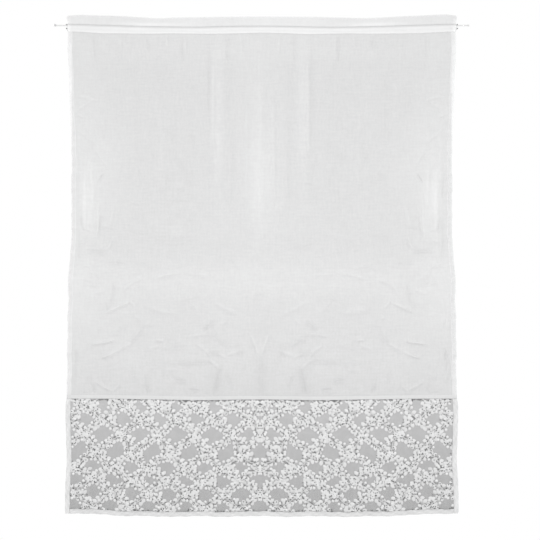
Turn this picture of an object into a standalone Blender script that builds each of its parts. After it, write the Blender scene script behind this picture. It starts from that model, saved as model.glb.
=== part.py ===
"""Sheer curtain on a thin rod.

A flat-hung voile panel, 1400 x 1800 mm with its lace band, slipped over a thin
round rod through a sewn pocket.  Units are metres, +Z is up and -Y is the front.
The origin is the middle of the rod's axis.

Pieces: voile panel (with its side hems, header and rod pocket), lace band,
three folded cloth strips that bind the band, the rod and its two end caps.
"""

import math
from collections import namedtuple

import bmesh
import bpy

MM = 0.001

# ---------------------------------------------------------------- main sizes, mm
ROD_DIAMETER = 5.0
ROD_HALF_LENGTH = 745.0
CAP_DEPTH = 5.0            # how far an end cap reaches over the rod
CAP_FACE = 1.6             # thickness of an end cap's closed end

CLOTH = 1.2                # a single layer of voile as a solid sheet
HEM_EXTRA = 0.8            # what the turned side hem adds, at the back
HEM_WIDTH = 16.5
SOFT_EDGE = 18.0           # hem or strip width in which the cloth doesn't bend across
HEADER_HALF = 1.2          # half of the doubled header cloth
HEADER_TOP = 36.0          # level of the header's upper edge at the sides
HEADER_BASE = 5.2          # level just above the pocket's upper stitch line
POCKET_FOOT = -21.5        # level of the pocket's lower stitch line
SEAM_LEVEL = -1342.0       # lower edge of the voile panel
BOTTOM_LEVEL = -1758.0     # lowest fold of the lace band's binding, at its corners

LACE = 1.0                 # lace as a solid sheet
LACE_TURN = 12.0           # lace lapped up behind the panel's lower edge
LACE_BEHIND = 2.3          # distance from the panel's middle to the lapped lace's middle
STRIP_WIDTH = 16.0         # visible width of a folded binding strip
STRIP_WALL = 1.0
STRIP_GAP = 0.35           # free gap between strip and lace
EDGE_GAP = 0.6             # gap between the ends of neighbouring pieces
COLUMNS = 36               # columns across the cloth, between its two soft edges

# ------------------------------------------------ stations across the width, mm
# x from the middle; top: upper edge above the rod's axis at the ends;
# rod, seam, bottom: how far that line hangs below its level at the ends
Station = namedtuple("Station", "x top rod seam bottom")
STATIONS = [
    Station(-704, 35.4, 0.0, 0.0, 0.0),
    Station(-650, 38.4, 0.5, 0.0, 0.2),
    Station(-603, 36.6, 2.4, 0.0, 0.6),
    Station(-509, 33.6, 5.2, 0.6, 7.0),
    Station(-416, 28.4, 8.2, 2.2, 7.8),
    Station(-365, 25.6, 8.8, 3.2, 10.0),
    Station(-322, 28.2, 9.3, 4.2, 11.6),
    Station(-229, 29.6, 10.0, 5.4, 8.3),
    Station(-135, 30.7, 7.6, 4.2, 10.6),
    Station(-13, 32.2, 6.2, 3.0, 8.2),
    Station(99, 31.4, 7.2, 4.0, 11.0),
    Station(193, 30.8, 9.6, 5.2, 7.6),
    Station(286, 28.2, 10.1, 4.4, 11.8),
    Station(380, 26.8, 8.6, 3.0, 9.0),
    Station(473, 31.4, 6.2, 1.4, 7.4),
    Station(567, 35.4, 3.0, 0.2, 2.2),
    Station(661, 39.6, 0.4, 0.0, 0.4),
    Station(704, 35.0, 0.0, 0.0, -0.8),
]

# ----------------------------------------------------- side outline of the cloth
# level: height against the rod's axis; half: half of the hung width there
Outline = namedtuple("Outline", "level half")
OUTLINE = [
    Outline(36, 698.3), Outline(31, 701.8), Outline(22, 702.6),
    Outline(13, 699.8), Outline(5, 700.3), Outline(-4, 702.8),
    Outline(-13, 702.4), Outline(-21, 699.6), Outline(-34, 698.8),
    Outline(-82, 693.2), Outline(-133, 692.2), Outline(-184, 690.5),
    Outline(-284, 686.4), Outline(-334, 684.5), Outline(-484, 684.2),
    Outline(-586, 685.8), Outline(-687, 684.8), Outline(-788, 686.8),
    Outline(-838, 690.8), Outline(-889, 695.8), Outline(-939, 697.4),
    Outline(-990, 696.6), Outline(-1040, 698.8), Outline(-1141, 699.8),
    Outline(-1191, 701.2), Outline(-1242, 700.2), Outline(-1292, 701.2),
    Outline(-1342, 703.4), Outline(-1354, 705.4), Outline(-1394, 706.0),
    Outline(-1444, 705.8), Outline(-1494, 704.2), Outline(-1544, 701.8),
    Outline(-1594, 703.7), Outline(-1645, 706.0), Outline(-1695, 708.6),
    Outline(-1746, 708.0), Outline(-1758, 706.4),
]

# ------------------------------------------------------------- main soft folds
# x: middle of the fold at its top; lean: how far its foot lies to the right of that;
# half: from its crest to where it ends; top, low: its reach; fade: run-out at both
# ends; out: how far it stands out to the front (negative: it lies back)
Fold = namedtuple("Fold", "x lean half top low fade out")
FOLDS = [
    Fold(-9, -6, 66, -64, -964, 260, 7.0),
    Fold(-150, -22, 54, -54, -764, 220, 5.5),
    Fold(150, 14, 52, -59, -704, 200, 5.0),
    Fold(-620, 10, 70, -364, -904, 190, 6.0),
    Fold(626, -8, 68, -384, -884, 180, 5.6),
    Fold(-345, 20, 105, -84, -1024, 260, -4.5),
    Fold(330, -16, 110, -74, -1004, 240, -4.8),
    Fold(-78, 4, 36, -114, -824, 180, -2.4),
    Fold(68, -4, 36, -114, -804, 180, -2.6),
    Fold(-490, 8, 70, -64, -704, 200, 2.6),
    Fold(486, -6, 72, -64, -764, 200, 2.4),
    Fold(-293, 0, 30, -28, -134, 60, 2.2),
    Fold(284, 0, 30, -28, -130, 60, 2.4),
    Fold(-190, 60, 62, -984, -1304, 110, 5.0),
    Fold(182, -54, 60, -994, -1314, 110, 4.6),
    Fold(-12, 4, 56, -1044, -1304, 100, -4.4),
    Fold(-560, 95, 86, -1044, -1424, 150, 5.2),
    Fold(552, -90, 84, -1054, -1424, 150, 5.0),
    Fold(-385, 30, 80, -1084, -1484, 140, -4.0),
    Fold(372, -26, 82, -1084, -1484, 140, -3.8),
    Fold(-600, -10, 95, -1404, -1804, 160, -5.0),
    Fold(-470, -14, 95, -1384, -1804, 180, 5.5),
    Fold(-300, 10, 100, -1364, -1804, 170, -5.5),
    Fold(-150, -8, 90, -1364, -1804, 180, 5.0),
    Fold(0, 6, 95, -1354, -1804, 170, -5.0),
    Fold(158, 8, 90, -1364, -1804, 180, 5.4),
    Fold(306, -8, 100, -1374, -1804, 170, -5.2),
    Fold(466, 12, 95, -1384, -1804, 180, 5.0),
    Fold(604, 6, 95, -1404, -1804, 160, -4.6),
]

# long swells that run from side to side
# level: middle; half: half height; out: how far it stands out to the front
Swell = namedtuple("Swell", "level half out")
SWELLS = [Swell(-909, 120, 3.0), Swell(-1194, 130, -2.4), Swell(-644, 150, -1.6)]

# ------------------------------------- rod pocket, its wall seen from the side
# up: height against the rod's axis; inner, outer: half widths of the teardrop
Wall = namedtuple("Wall", "up inner outer")
POCKET = [
    Wall(3.9, 0.0, 1.7),
    Wall(1.9, 2.3, 3.5),
    Wall(-0.2, 3.3, 4.5),
    Wall(-3.8, 2.5, 3.7),
    Wall(-9.0, 1.5, 2.7),
    Wall(-15.5, 0.9, 2.1),
    Wall(-20.9, 0.0, 1.3),
]

# ----------------------------------------------- levels at which sheets are cut
HEADER_STEPS = [1.0, 0.86, 0.45, 0.0]           # 1: top edge, 0: at the stitches
PANEL_LEVELS = [-26, -42, -68, -104, -150, -202, -260, -320, -380, -440, -502,
                -564, -626, -688, -748, -804, -856, -906, -958, -1012, -1066,
                -1120, -1174, -1230, -1288, SEAM_LEVEL]
LACE_LEVELS = [SEAM_LEVEL + LACE_TURN, SEAM_LEVEL - 0.7, SEAM_LEVEL - 7,
               SEAM_LEVEL - 14, -1409, -1474, -1539, -1604, -1669,
               BOTTOM_LEVEL + SOFT_EDGE, BOTTOM_LEVEL + STRIP_WIDTH,
               BOTTOM_LEVEL + STRIP_WALL + 1.4]


# ------------------------------------------------------------------- functions
def smooth(t):
    t = min(max(t, 0.0), 1.0)
    return t * t * (3.0 - 2.0 * t)


def along(rows, key, value, at):
    """A smooth curve through one column of a table."""
    ks = [getattr(r, key) for r in rows]
    vs = [getattr(r, value) for r in rows]
    if ks[0] > ks[-1]:
        ks, vs = ks[::-1], vs[::-1]
    if at <= ks[0]:
        return vs[0]
    if at >= ks[-1]:
        return vs[-1]
    i = max(k for k in range(len(ks) - 1) if ks[k] <= at)

    def slope(k):
        a, b = max(k - 1, 0), min(k + 1, len(ks) - 1)
        return (vs[b] - vs[a]) / (ks[b] - ks[a])

    h = ks[i + 1] - ks[i]
    t = (at - ks[i]) / h
    return (
        (2 * t**3 - 3 * t**2 + 1) * vs[i]
        + (t**3 - 2 * t**2 + t) * h * slope(i)
        + (3 * t**2 - 2 * t**3) * vs[i + 1]
        + (t**3 - t**2) * h * slope(i + 1)
    )


def station(value, x):
    return along(STATIONS, "x", value, x)


def half_width(level):
    return along(OUTLINE, "level", "half", level)


def hump(t):
    return 0.5 * (1.0 + math.cos(math.pi * t)) if abs(t) < 1.0 else 0.0


def depth(x, level):
    """How far the cloth's middle lies behind the rod's axis (negative: in front)."""
    side = half_width(level) - SOFT_EDGE
    x = min(max(x, -side), side)
    level = max(level, BOTTOM_LEVEL + SOFT_EDGE)
    out = 0.0
    for f in FOLDS:
        if level > f.top or level < f.low:
            continue
        down = (f.top - level) / (f.top - f.low)
        reach = smooth((f.top - level) / f.fade)
        if f.low > BOTTOM_LEVEL:
            reach *= smooth((level - f.low) / f.fade)
        out += f.out * reach * hump((x - f.x - f.lean * down) / f.half)
    for s in SWELLS:
        out += s.out * hump((level - s.level) / s.half)
    return -out * smooth((POCKET_FOOT - 2.0 - level) / 90.0)


def hung(x, level):
    """Height of the cloth's point that has this level at the sides."""
    if level >= SEAM_LEVEL:
        t = smooth((POCKET_FOOT - level) / (POCKET_FOOT - SEAM_LEVEL))
        drop = station("rod", x) * (1 - t) + station("seam", x) * t
    else:
        t = smooth((SEAM_LEVEL - level) / (SEAM_LEVEL - BOTTOM_LEVEL))
        drop = station("seam", x) * (1 - t) + station("bottom", x) * t
    return level - drop


def header_wave(x):
    """The header's own slight waves, at its upper edge."""
    return 1.6 * math.sin(x / 61.0 + 0.6) + 1.0 * math.sin(x / 33.0 + 2.0)


def across(level, outer_inset=0.0, hem=HEM_WIDTH):
    """Positions across the cloth at one level: edge, hem line, columns, hem line, edge."""
    half = half_width(level)
    side = half - SOFT_EDGE
    inner = [side * (2.0 * k / COLUMNS - 1.0) for k in range(COLUMNS + 1)]
    return [-half + outer_inset, -half + hem] + inner + [half - hem, half - outer_inset]


def make_object(name, points, faces, material, sharp=30.0):
    """One object from points in mm and faces, with its own material."""
    mesh = bpy.data.meshes.new(name)
    mesh.from_pydata([(x * MM, y * MM, z * MM) for x, y, z in points], [], faces)
    mesh.validate()
    work = bmesh.new()
    work.from_mesh(mesh)
    bmesh.ops.triangulate(work, faces=work.faces[:])
    work.to_mesh(mesh)
    work.free()
    mesh.shade_smooth()
    mesh.set_sharp_from_angle(angle=math.radians(sharp))
    mesh.materials.append(material)
    piece = bpy.data.objects.new(name, mesh)
    bpy.context.collection.objects.link(piece)
    return piece


def make_material(name, color, roughness, metallic=0.0, sheen=0.0):
    m = bpy.data.materials.new(name)
    m.use_nodes = True
    shader = m.node_tree.nodes["Principled BSDF"]
    shader.inputs["Base Color"].default_value = (*color, 1.0)
    shader.inputs["Roughness"].default_value = roughness
    shader.inputs["Metallic"].default_value = metallic
    shader.inputs["Sheen Weight"].default_value = sheen
    return m


def sweep(loops):
    """A closed body from equal closed loops, one after another, with both ends capped."""
    n = len(loops[0])
    points = [p for loop in loops for p in loop]
    faces = [tuple(range(n))[::-1]]
    for k in range(len(loops) - 1):
        a, b = k * n, (k + 1) * n
        faces += [(a + i, a + (i + 1) % n, b + (i + 1) % n, b + i) for i in range(n)]
    last = (len(loops) - 1) * n
    faces.append(tuple(range(last, last + n)))
    return points, faces


# ------------------------------------------------------------------ voile panel
def voile_panel(material):
    """One sheet: header and pocket are its own cloth, turned back and sewn down."""
    rows = []                       # each row: per column, its points from front to back
    count = COLUMNS + 5

    for step in HEADER_STEPS:
        level = HEADER_BASE + step * (HEADER_TOP - HEADER_BASE)
        row = []
        for k, x in enumerate(across(level)):
            hem = HEM_EXTRA if k in (0, 1, count - 2, count - 1) else 0.0
            base = HEADER_BASE - station("rod", x)
            z = base + step * (station("top", x) - base)
            y = header_wave(x) * step
            row.append([(x, y - HEADER_HALF, z), (x, y + HEADER_HALF + hem * step, z)])
        rows.append(row)

    for k_wall, wall in enumerate(POCKET):
        row = []
        for x in across(wall.up):
            z = wall.up - station("rod", x)
            if wall.inner == 0.0:
                row.append([(x, -wall.outer, z), (x, 0.0, z), (x, wall.outer, z)])
            else:
                row.append([(x, -wall.outer, z), (x, -wall.inner, z),
                            (x, wall.inner, z), (x, wall.outer, z)])
        rows.append(row)

    for level in PANEL_LEVELS:
        row = []
        for k, x in enumerate(across(level)):
            hem = HEM_EXTRA if k in (0, 1, count - 2, count - 1) else 0.0
            y, z = depth(x, level), hung(x, level)
            row.append([(x, y - CLOTH / 2, z), (x, y + CLOTH / 2 + hem, z)])
        rows.append(row)

    points, index = [], []
    for row in rows:
        numbers = []
        for column in row:
            numbers.append(list(range(len(points), len(points) + len(column))))
            points += column
        index.append(numbers)

    faces = []
    for upper, lower in zip(index, index[1:]):
        for j in range(count - 1):
            a, b, c, d = upper[j], lower[j], lower[j + 1], upper[j + 1]
            faces.append((a[0], b[0], c[0], d[0]))                 # front
            faces.append((a[-1], d[-1], c[-1], b[-1]))             # back
            if len(a) > 2 and len(b) > 2:                          # inside of the pocket
                faces.append((a[1], d[1], c[1], b[1]))
                faces.append((a[-2], b[-2], c[-2], d[-2]))
        for j, turn in ((0, 1), (count - 1, -1)):                  # the two side edges
            a, b = upper[j], lower[j]
            if len(a) == 2 and len(b) == 2:
                ends = [(a[0], a[1], b[1], b[0])]
            elif len(a) == 2:                                      # above the pocket
                ends = [(a[0], a[1], b[1]), (a[1], b[2], b[1]), (a[0], b[1], b[0])]
            elif len(b) == 2:                                      # below the pocket
                ends = [(a[0], a[1], b[0]), (a[1], b[1], b[0]), (a[1], a[2], b[1])]
            else:
                ends = [(a[0], a[1], b[1], b[0]), (a[-2], a[-1], b[-1], b[-2])]
            faces += [e[::turn] for e in ends]
    for j in range(count - 1):
        a, d = index[0][j], index[0][j + 1]
        faces.append((a[0], d[0], d[-1], a[-1]))                   # upper edge
        a, d = index[-1][j], index[-1][j + 1]
        faces.append((a[0], a[-1], d[-1], d[0]))                   # lower edge
    return make_object("voile_panel", points, faces, material)


# -------------------------------------------------------------------- lace band
def lace_offset(level):
    """The lapped edge lies behind the panel, the rest hangs in the panel's plane."""
    return LACE_BEHIND * smooth((level - (SEAM_LEVEL - 14.0)) / 12.0)


def lace_band(material):
    rows = []
    for level in LACE_LEVELS:
        bound = level < SEAM_LEVEL
        inset = STRIP_WALL + 1.4 if bound else 1.5
        row = []
        for x in across(level, outer_inset=inset, hem=STRIP_WIDTH):
            y, z = depth(x, level) + lace_offset(level), hung(x, level)
            row.append(((x, y - LACE / 2, z), (x, y + LACE / 2, z)))
        rows.append(row)
    count = COLUMNS + 5
    points = [p for row in rows for pair in row for p in pair]

    def at(i, j, side):
        return (i * count + j) * 2 + side

    faces = []
    for i in range(len(rows) - 1):
        for j in range(count - 1):
            faces.append((at(i, j, 0), at(i + 1, j, 0), at(i + 1, j + 1, 0), at(i, j + 1, 0)))
            faces.append((at(i, j, 1), at(i, j + 1, 1), at(i + 1, j + 1, 1), at(i + 1, j, 1)))
        faces.append((at(i, 0, 0), at(i, 0, 1), at(i + 1, 0, 1), at(i + 1, 0, 0)))
        e = count - 1
        faces.append((at(i, e, 0), at(i + 1, e, 0), at(i + 1, e, 1), at(i, e, 1)))
    last = len(rows) - 1
    for j in range(count - 1):
        faces.append((at(0, j, 0), at(0, j + 1, 0), at(0, j + 1, 1), at(0, j, 1)))
        faces.append((at(last, j, 0), at(last, j, 1), at(last, j + 1, 1), at(last, j + 1, 0)))
    return make_object("lace_band", points, faces, material)


# --------------------------------------------------------------- binding strips
def folded_section():
    """A strip folded over an edge: (how far in from the fold, front or back)."""
    inner = LACE / 2 + STRIP_GAP
    outer = inner + STRIP_WALL
    return [
        (0.0, -outer), (STRIP_WIDTH, -outer), (STRIP_WIDTH, -inner), (STRIP_WALL, -inner),
        (STRIP_WALL, inner), (STRIP_WIDTH, inner), (STRIP_WIDTH, outer), (0.0, outer),
    ]


def side_strip(name, side, material):
    levels = [SEAM_LEVEL - EDGE_GAP] + [v for v in LACE_LEVELS if v < SEAM_LEVEL - 1.0]
    levels = levels[:-1] + [BOTTOM_LEVEL]
    loops = []
    for level in levels:
        half = half_width(level)
        loop = []
        for inward, y in folded_section():
            x = side * (half - inward)
            loop.append((x, y + depth(x, level) + lace_offset(level), hung(x, level)))
        loops.append(loop if side < 0 else loop[::-1])
    points, faces = sweep(loops[::-1])
    return make_object(name, points, faces, material)


def bottom_strip(name, material):
    count = COLUMNS + 3
    loops = []
    for j in range(count):
        loop = []
        for inward, y in folded_section():
            level = BOTTOM_LEVEL + inward
            half = half_width(level)
            if j == 0:
                x = -(half - STRIP_WIDTH - EDGE_GAP)
            elif j == count - 1:
                x = half - STRIP_WIDTH - EDGE_GAP
            else:
                x = (half - SOFT_EDGE) * (2.0 * (j - 1) / COLUMNS - 1.0)
            loop.append((x, y + depth(x, level), hung(x, level)))
        loops.append(loop[::-1])
    points, faces = sweep(loops)
    return make_object(name, points, faces, material)


# ------------------------------------------------------------- rod and end caps
def rod(material, sides=12, steps=32):
    loops = []
    for k in range(steps + 1):
        x = ROD_HALF_LENGTH * (2.0 * k / steps - 1.0)
        loops.append([
            (x, ROD_DIAMETER / 2 * math.cos(a), ROD_DIAMETER / 2 * math.sin(a) - station("rod", x))
            for a in (2 * math.pi * (i + 0.5) / sides for i in range(sides))
        ])
    points, faces = sweep(loops)
    return make_object("rod", points, faces, material)


# from the mouth outwards: along the rod, radius, and how far that ring lies above the
# rod's axis (a cap is turned from this profile)
CapRow = namedtuple("CapRow", "along radius lift")
FLARED_CAP = [CapRow(0.0, 3.55, 0.0), CapRow(2.0, 3.7, 0.1), CapRow(4.2, 4.3, 1.0),
              CapRow(CAP_DEPTH + CAP_FACE - 0.7, 4.4, 1.2),
              CapRow(CAP_DEPTH + CAP_FACE, 3.8, 1.2)]
PLAIN_CAP = [CapRow(0.0, 3.4, 0.0), CapRow(3.5, 3.4, 0.0),
             CapRow(CAP_DEPTH + CAP_FACE - 0.8, 3.4, 0.0),
             CapRow(CAP_DEPTH + CAP_FACE, 2.7, 0.0)]


def end_cap(name, side, profile, material, sides=16):
    """A cup that slips over the rod's end, turned about the rod's axis."""
    bore = ROD_DIAMETER / 2 + 0.35
    outline = [(r.along, r.radius, r.lift) for r in profile]
    outline += [(CAP_DEPTH + 0.3, bore, 0.0), (0.0, bore, 0.0)]   # the blind bore, from its floor
    mouth = ROD_HALF_LENGTH - CAP_DEPTH
    rings = [
        [(side * (mouth + s), r * math.cos(a), r * math.sin(a) + lift)
         for a in (2 * math.pi * (i + 0.5) / sides for i in range(sides))]
        for s, r, lift in outline
    ]
    if side < 0:
        rings = [ring[::-1] for ring in rings]
    points = [p for ring in rings for p in ring]
    n, faces = sides, []
    for k in range(len(rings)):
        if k == len(profile) - 1:
            continue                                        # the closed end lies here
        a, b = k * n, ((k + 1) % len(rings)) * n
        faces += [(a + i, a + (i + 1) % n, b + (i + 1) % n, b + i) for i in range(n)]
    end, floor = (len(profile) - 1) * n, len(profile) * n
    faces.append(tuple(range(end, end + n)))
    faces.append(tuple(range(floor, floor + n))[::-1])
    return make_object(name, points, faces, material)


# ------------------------------------------------------------------------ build
for old in list(bpy.data.objects):
    bpy.data.objects.remove(old, do_unlink=True)

hanger = bpy.data.objects.new("hanging_line", None)
bpy.context.collection.objects.link(hanger)

pieces = [
    voile_panel(make_material("white_voile", (0.78, 0.78, 0.78), 0.92, sheen=0.2)),
    lace_band(make_material("white_lace", (0.60, 0.60, 0.61), 0.90)),
    side_strip("binding_left", -1, make_material("binding_cloth_left", (0.76, 0.76, 0.76), 0.9)),
    side_strip("binding_right", 1, make_material("binding_cloth_right", (0.76, 0.76, 0.76), 0.9)),
    bottom_strip("binding_bottom", make_material("binding_cloth_bottom", (0.76, 0.76, 0.76), 0.9)),
    rod(make_material("white_painted_rod", (0.84, 0.84, 0.84), 0.32)),
    end_cap("rod_cap_left", -1, FLARED_CAP, make_material("cap_plastic_left", (0.70, 0.70, 0.71), 0.42)),
    end_cap("rod_cap_right", 1, PLAIN_CAP, make_material("cap_plastic_right", (0.82, 0.82, 0.82), 0.42)),
]
for piece in pieces:
    piece.parent = hanger
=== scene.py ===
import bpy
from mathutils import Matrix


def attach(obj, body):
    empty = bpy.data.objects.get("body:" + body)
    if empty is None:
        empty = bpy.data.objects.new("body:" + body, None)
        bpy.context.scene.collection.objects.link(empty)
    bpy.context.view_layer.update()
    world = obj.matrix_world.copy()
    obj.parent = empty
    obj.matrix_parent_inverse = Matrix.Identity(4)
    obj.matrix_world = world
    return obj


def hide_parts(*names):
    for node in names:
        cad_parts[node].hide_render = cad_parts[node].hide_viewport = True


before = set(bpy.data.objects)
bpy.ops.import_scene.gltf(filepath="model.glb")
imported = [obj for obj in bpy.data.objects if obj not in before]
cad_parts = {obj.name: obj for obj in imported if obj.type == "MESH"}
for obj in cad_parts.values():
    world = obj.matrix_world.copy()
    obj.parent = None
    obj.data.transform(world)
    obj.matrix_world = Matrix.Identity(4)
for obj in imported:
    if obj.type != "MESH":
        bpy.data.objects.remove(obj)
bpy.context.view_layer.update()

# Looks of the sheer curtain on its thin rod: fine cloth, floral lace, stitching, rod.

import math
from collections import namedtuple

import bpy
import numpy as np
from mathutils import Vector
from mathutils.geometry import delaunay_2d_cdt

MM = 0.001
rng = np.random.default_rng(41)

# ------------------------------------------------------------------ sizes, mm
ROD_RADIUS = 2.5
ROD_HALF_LENGTH = 745.0
CAP_DEPTH, CAP_FACE = 5.0, 1.6
HEADER_TOP, HEADER_BASE, POCKET_FOOT = 36.0, 5.2, -21.5
SEAM_LEVEL, BOTTOM_LEVEL = -1342.0, -1758.0
HEM_WIDTH, SOFT_EDGE, STRIP_WIDTH = 16.5, 18.0, 16.0
LACE_TURN, LACE_BEHIND = 12.0, 2.3
CLOTH = 0.5                 # visible thickness of one layer of voile
NET = 0.3                   # thickness of the lace's net ground
FREE_TOP, FREE_FOOT = -26.0, SEAM_LEVEL + 11.0      # the voile between its sewn edges

# ------------------------------------- the same tables as the solids, in mm
Station = namedtuple("Station", "x top rod seam bottom")
STATIONS = [
    Station(-704, 35.4, 0.0, 0.0, 0.0), Station(-650, 38.4, 0.5, 0.0, 0.2),
    Station(-603, 36.6, 2.4, 0.0, 0.6), Station(-509, 33.6, 5.2, 0.6, 7.0),
    Station(-416, 28.4, 8.2, 2.2, 7.8), Station(-365, 25.6, 8.8, 3.2, 10.0),
    Station(-322, 28.2, 9.3, 4.2, 11.6), Station(-229, 29.6, 10.0, 5.4, 8.3),
    Station(-135, 30.7, 7.6, 4.2, 10.6), Station(-13, 32.2, 6.2, 3.0, 8.2),
    Station(99, 31.4, 7.2, 4.0, 11.0), Station(193, 30.8, 9.6, 5.2, 7.6),
    Station(286, 28.2, 10.1, 4.4, 11.8), Station(380, 26.8, 8.6, 3.0, 9.0),
    Station(473, 31.4, 6.2, 1.4, 7.4), Station(567, 35.4, 3.0, 0.2, 2.2),
    Station(661, 39.6, 0.4, 0.0, 0.4), Station(704, 35.0, 0.0, 0.0, -0.8),
]
Outline = namedtuple("Outline", "level half")
OUTLINE = [
    Outline(36, 698.3), Outline(31, 701.8), Outline(22, 702.6), Outline(13, 699.8),
    Outline(5, 700.3), Outline(-4, 702.8), Outline(-13, 702.4), Outline(-21, 699.6),
    Outline(-34, 698.8), Outline(-98, 698.4), Outline(-144, 696.8),
    Outline(-196, 693.2), Outline(-248, 693.4), Outline(-320, 690.6), Outline(-400, 686.4),
    Outline(-484, 684.2), Outline(-586, 685.8), Outline(-687, 684.8),
    Outline(-788, 686.8), Outline(-838, 690.8), Outline(-889, 695.8),
    Outline(-939, 697.4), Outline(-990, 696.6), Outline(-1040, 698.8),
    Outline(-1141, 699.8), Outline(-1191, 701.2), Outline(-1242, 700.2),
    Outline(-1292, 701.2), Outline(-1342, 703.4), Outline(-1354, 705.4),
    Outline(-1394, 706.0), Outline(-1444, 705.8), Outline(-1494, 704.2),
    Outline(-1544, 701.8), Outline(-1594, 703.7), Outline(-1645, 706.0),
    Outline(-1695, 708.6), Outline(-1746, 708.0), Outline(-1758, 706.4),
]
Fold = namedtuple("Fold", "x lean half top low fade out")
FOLDS = [
    Fold(-9, -6, 66, -64, -964, 260, 7.0), Fold(-150, -22, 54, -54, -764, 220, 5.5),
    Fold(150, 14, 52, -59, -704, 200, 5.0), Fold(-620, 10, 70, -364, -904, 190, 6.0),
    Fold(626, -8, 68, -384, -884, 180, 5.6), Fold(-345, 20, 105, -84, -1024, 260, -4.5),
    Fold(330, -16, 110, -74, -1004, 240, -4.8), Fold(-78, 4, 36, -114, -824, 180, -2.4),
    Fold(68, -4, 36, -114, -804, 180, -2.6), Fold(-490, 8, 70, -64, -704, 200, 2.6),
    Fold(486, -6, 72, -64, -764, 200, 2.4), Fold(-293, 0, 30, -28, -134, 60, 2.2),
    Fold(284, 0, 30, -28, -130, 60, 2.4), Fold(-190, 60, 62, -984, -1304, 110, 5.0),
    Fold(182, -54, 60, -994, -1314, 110, 4.6), Fold(-12, 4, 56, -1044, -1304, 100, -4.4),
    Fold(-560, 95, 86, -1044, -1424, 150, 5.2), Fold(552, -90, 84, -1054, -1424, 150, 5.0),
    Fold(-385, 30, 80, -1084, -1484, 140, -4.0), Fold(372, -26, 82, -1084, -1484, 140, -3.8),
    Fold(-600, -10, 95, -1404, -1804, 160, -5.0), Fold(-470, -14, 95, -1384, -1804, 180, 5.5),
    Fold(-300, 10, 100, -1364, -1804, 170, -5.5), Fold(-150, -8, 90, -1364, -1804, 180, 5.0),
    Fold(0, 6, 95, -1354, -1804, 170, -5.0), Fold(158, 8, 90, -1364, -1804, 180, 5.4),
    Fold(306, -8, 100, -1374, -1804, 170, -5.2), Fold(466, 12, 95, -1384, -1804, 180, 5.0),
    Fold(604, 6, 95, -1404, -1804, 160, -4.6),
]
Swell = namedtuple("Swell", "level half out")
SWELLS = [Swell(-909, 120, 3.0), Swell(-1194, 130, -2.4), Swell(-644, 150, -1.6)]

# ---------------------------------------------------------- fine creases, mm
# from (x, level) to (x2, level2); bow: sideways bulge; half: half width of the line;
# out: height to the front; edge: 1 gives a step with a light and a dark side
Crease = namedtuple("Crease", "x level x2 level2 bow half out edge")
MIDDLE = 259.5                    # the cloth's left and right halves are near alike here


def at_px(x, y):
    """A place on the cloth from a pixel of the 540 x 540 photograph."""
    return (x - 261.28) * 3.6, (24.85 - y) * 3.6


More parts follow.
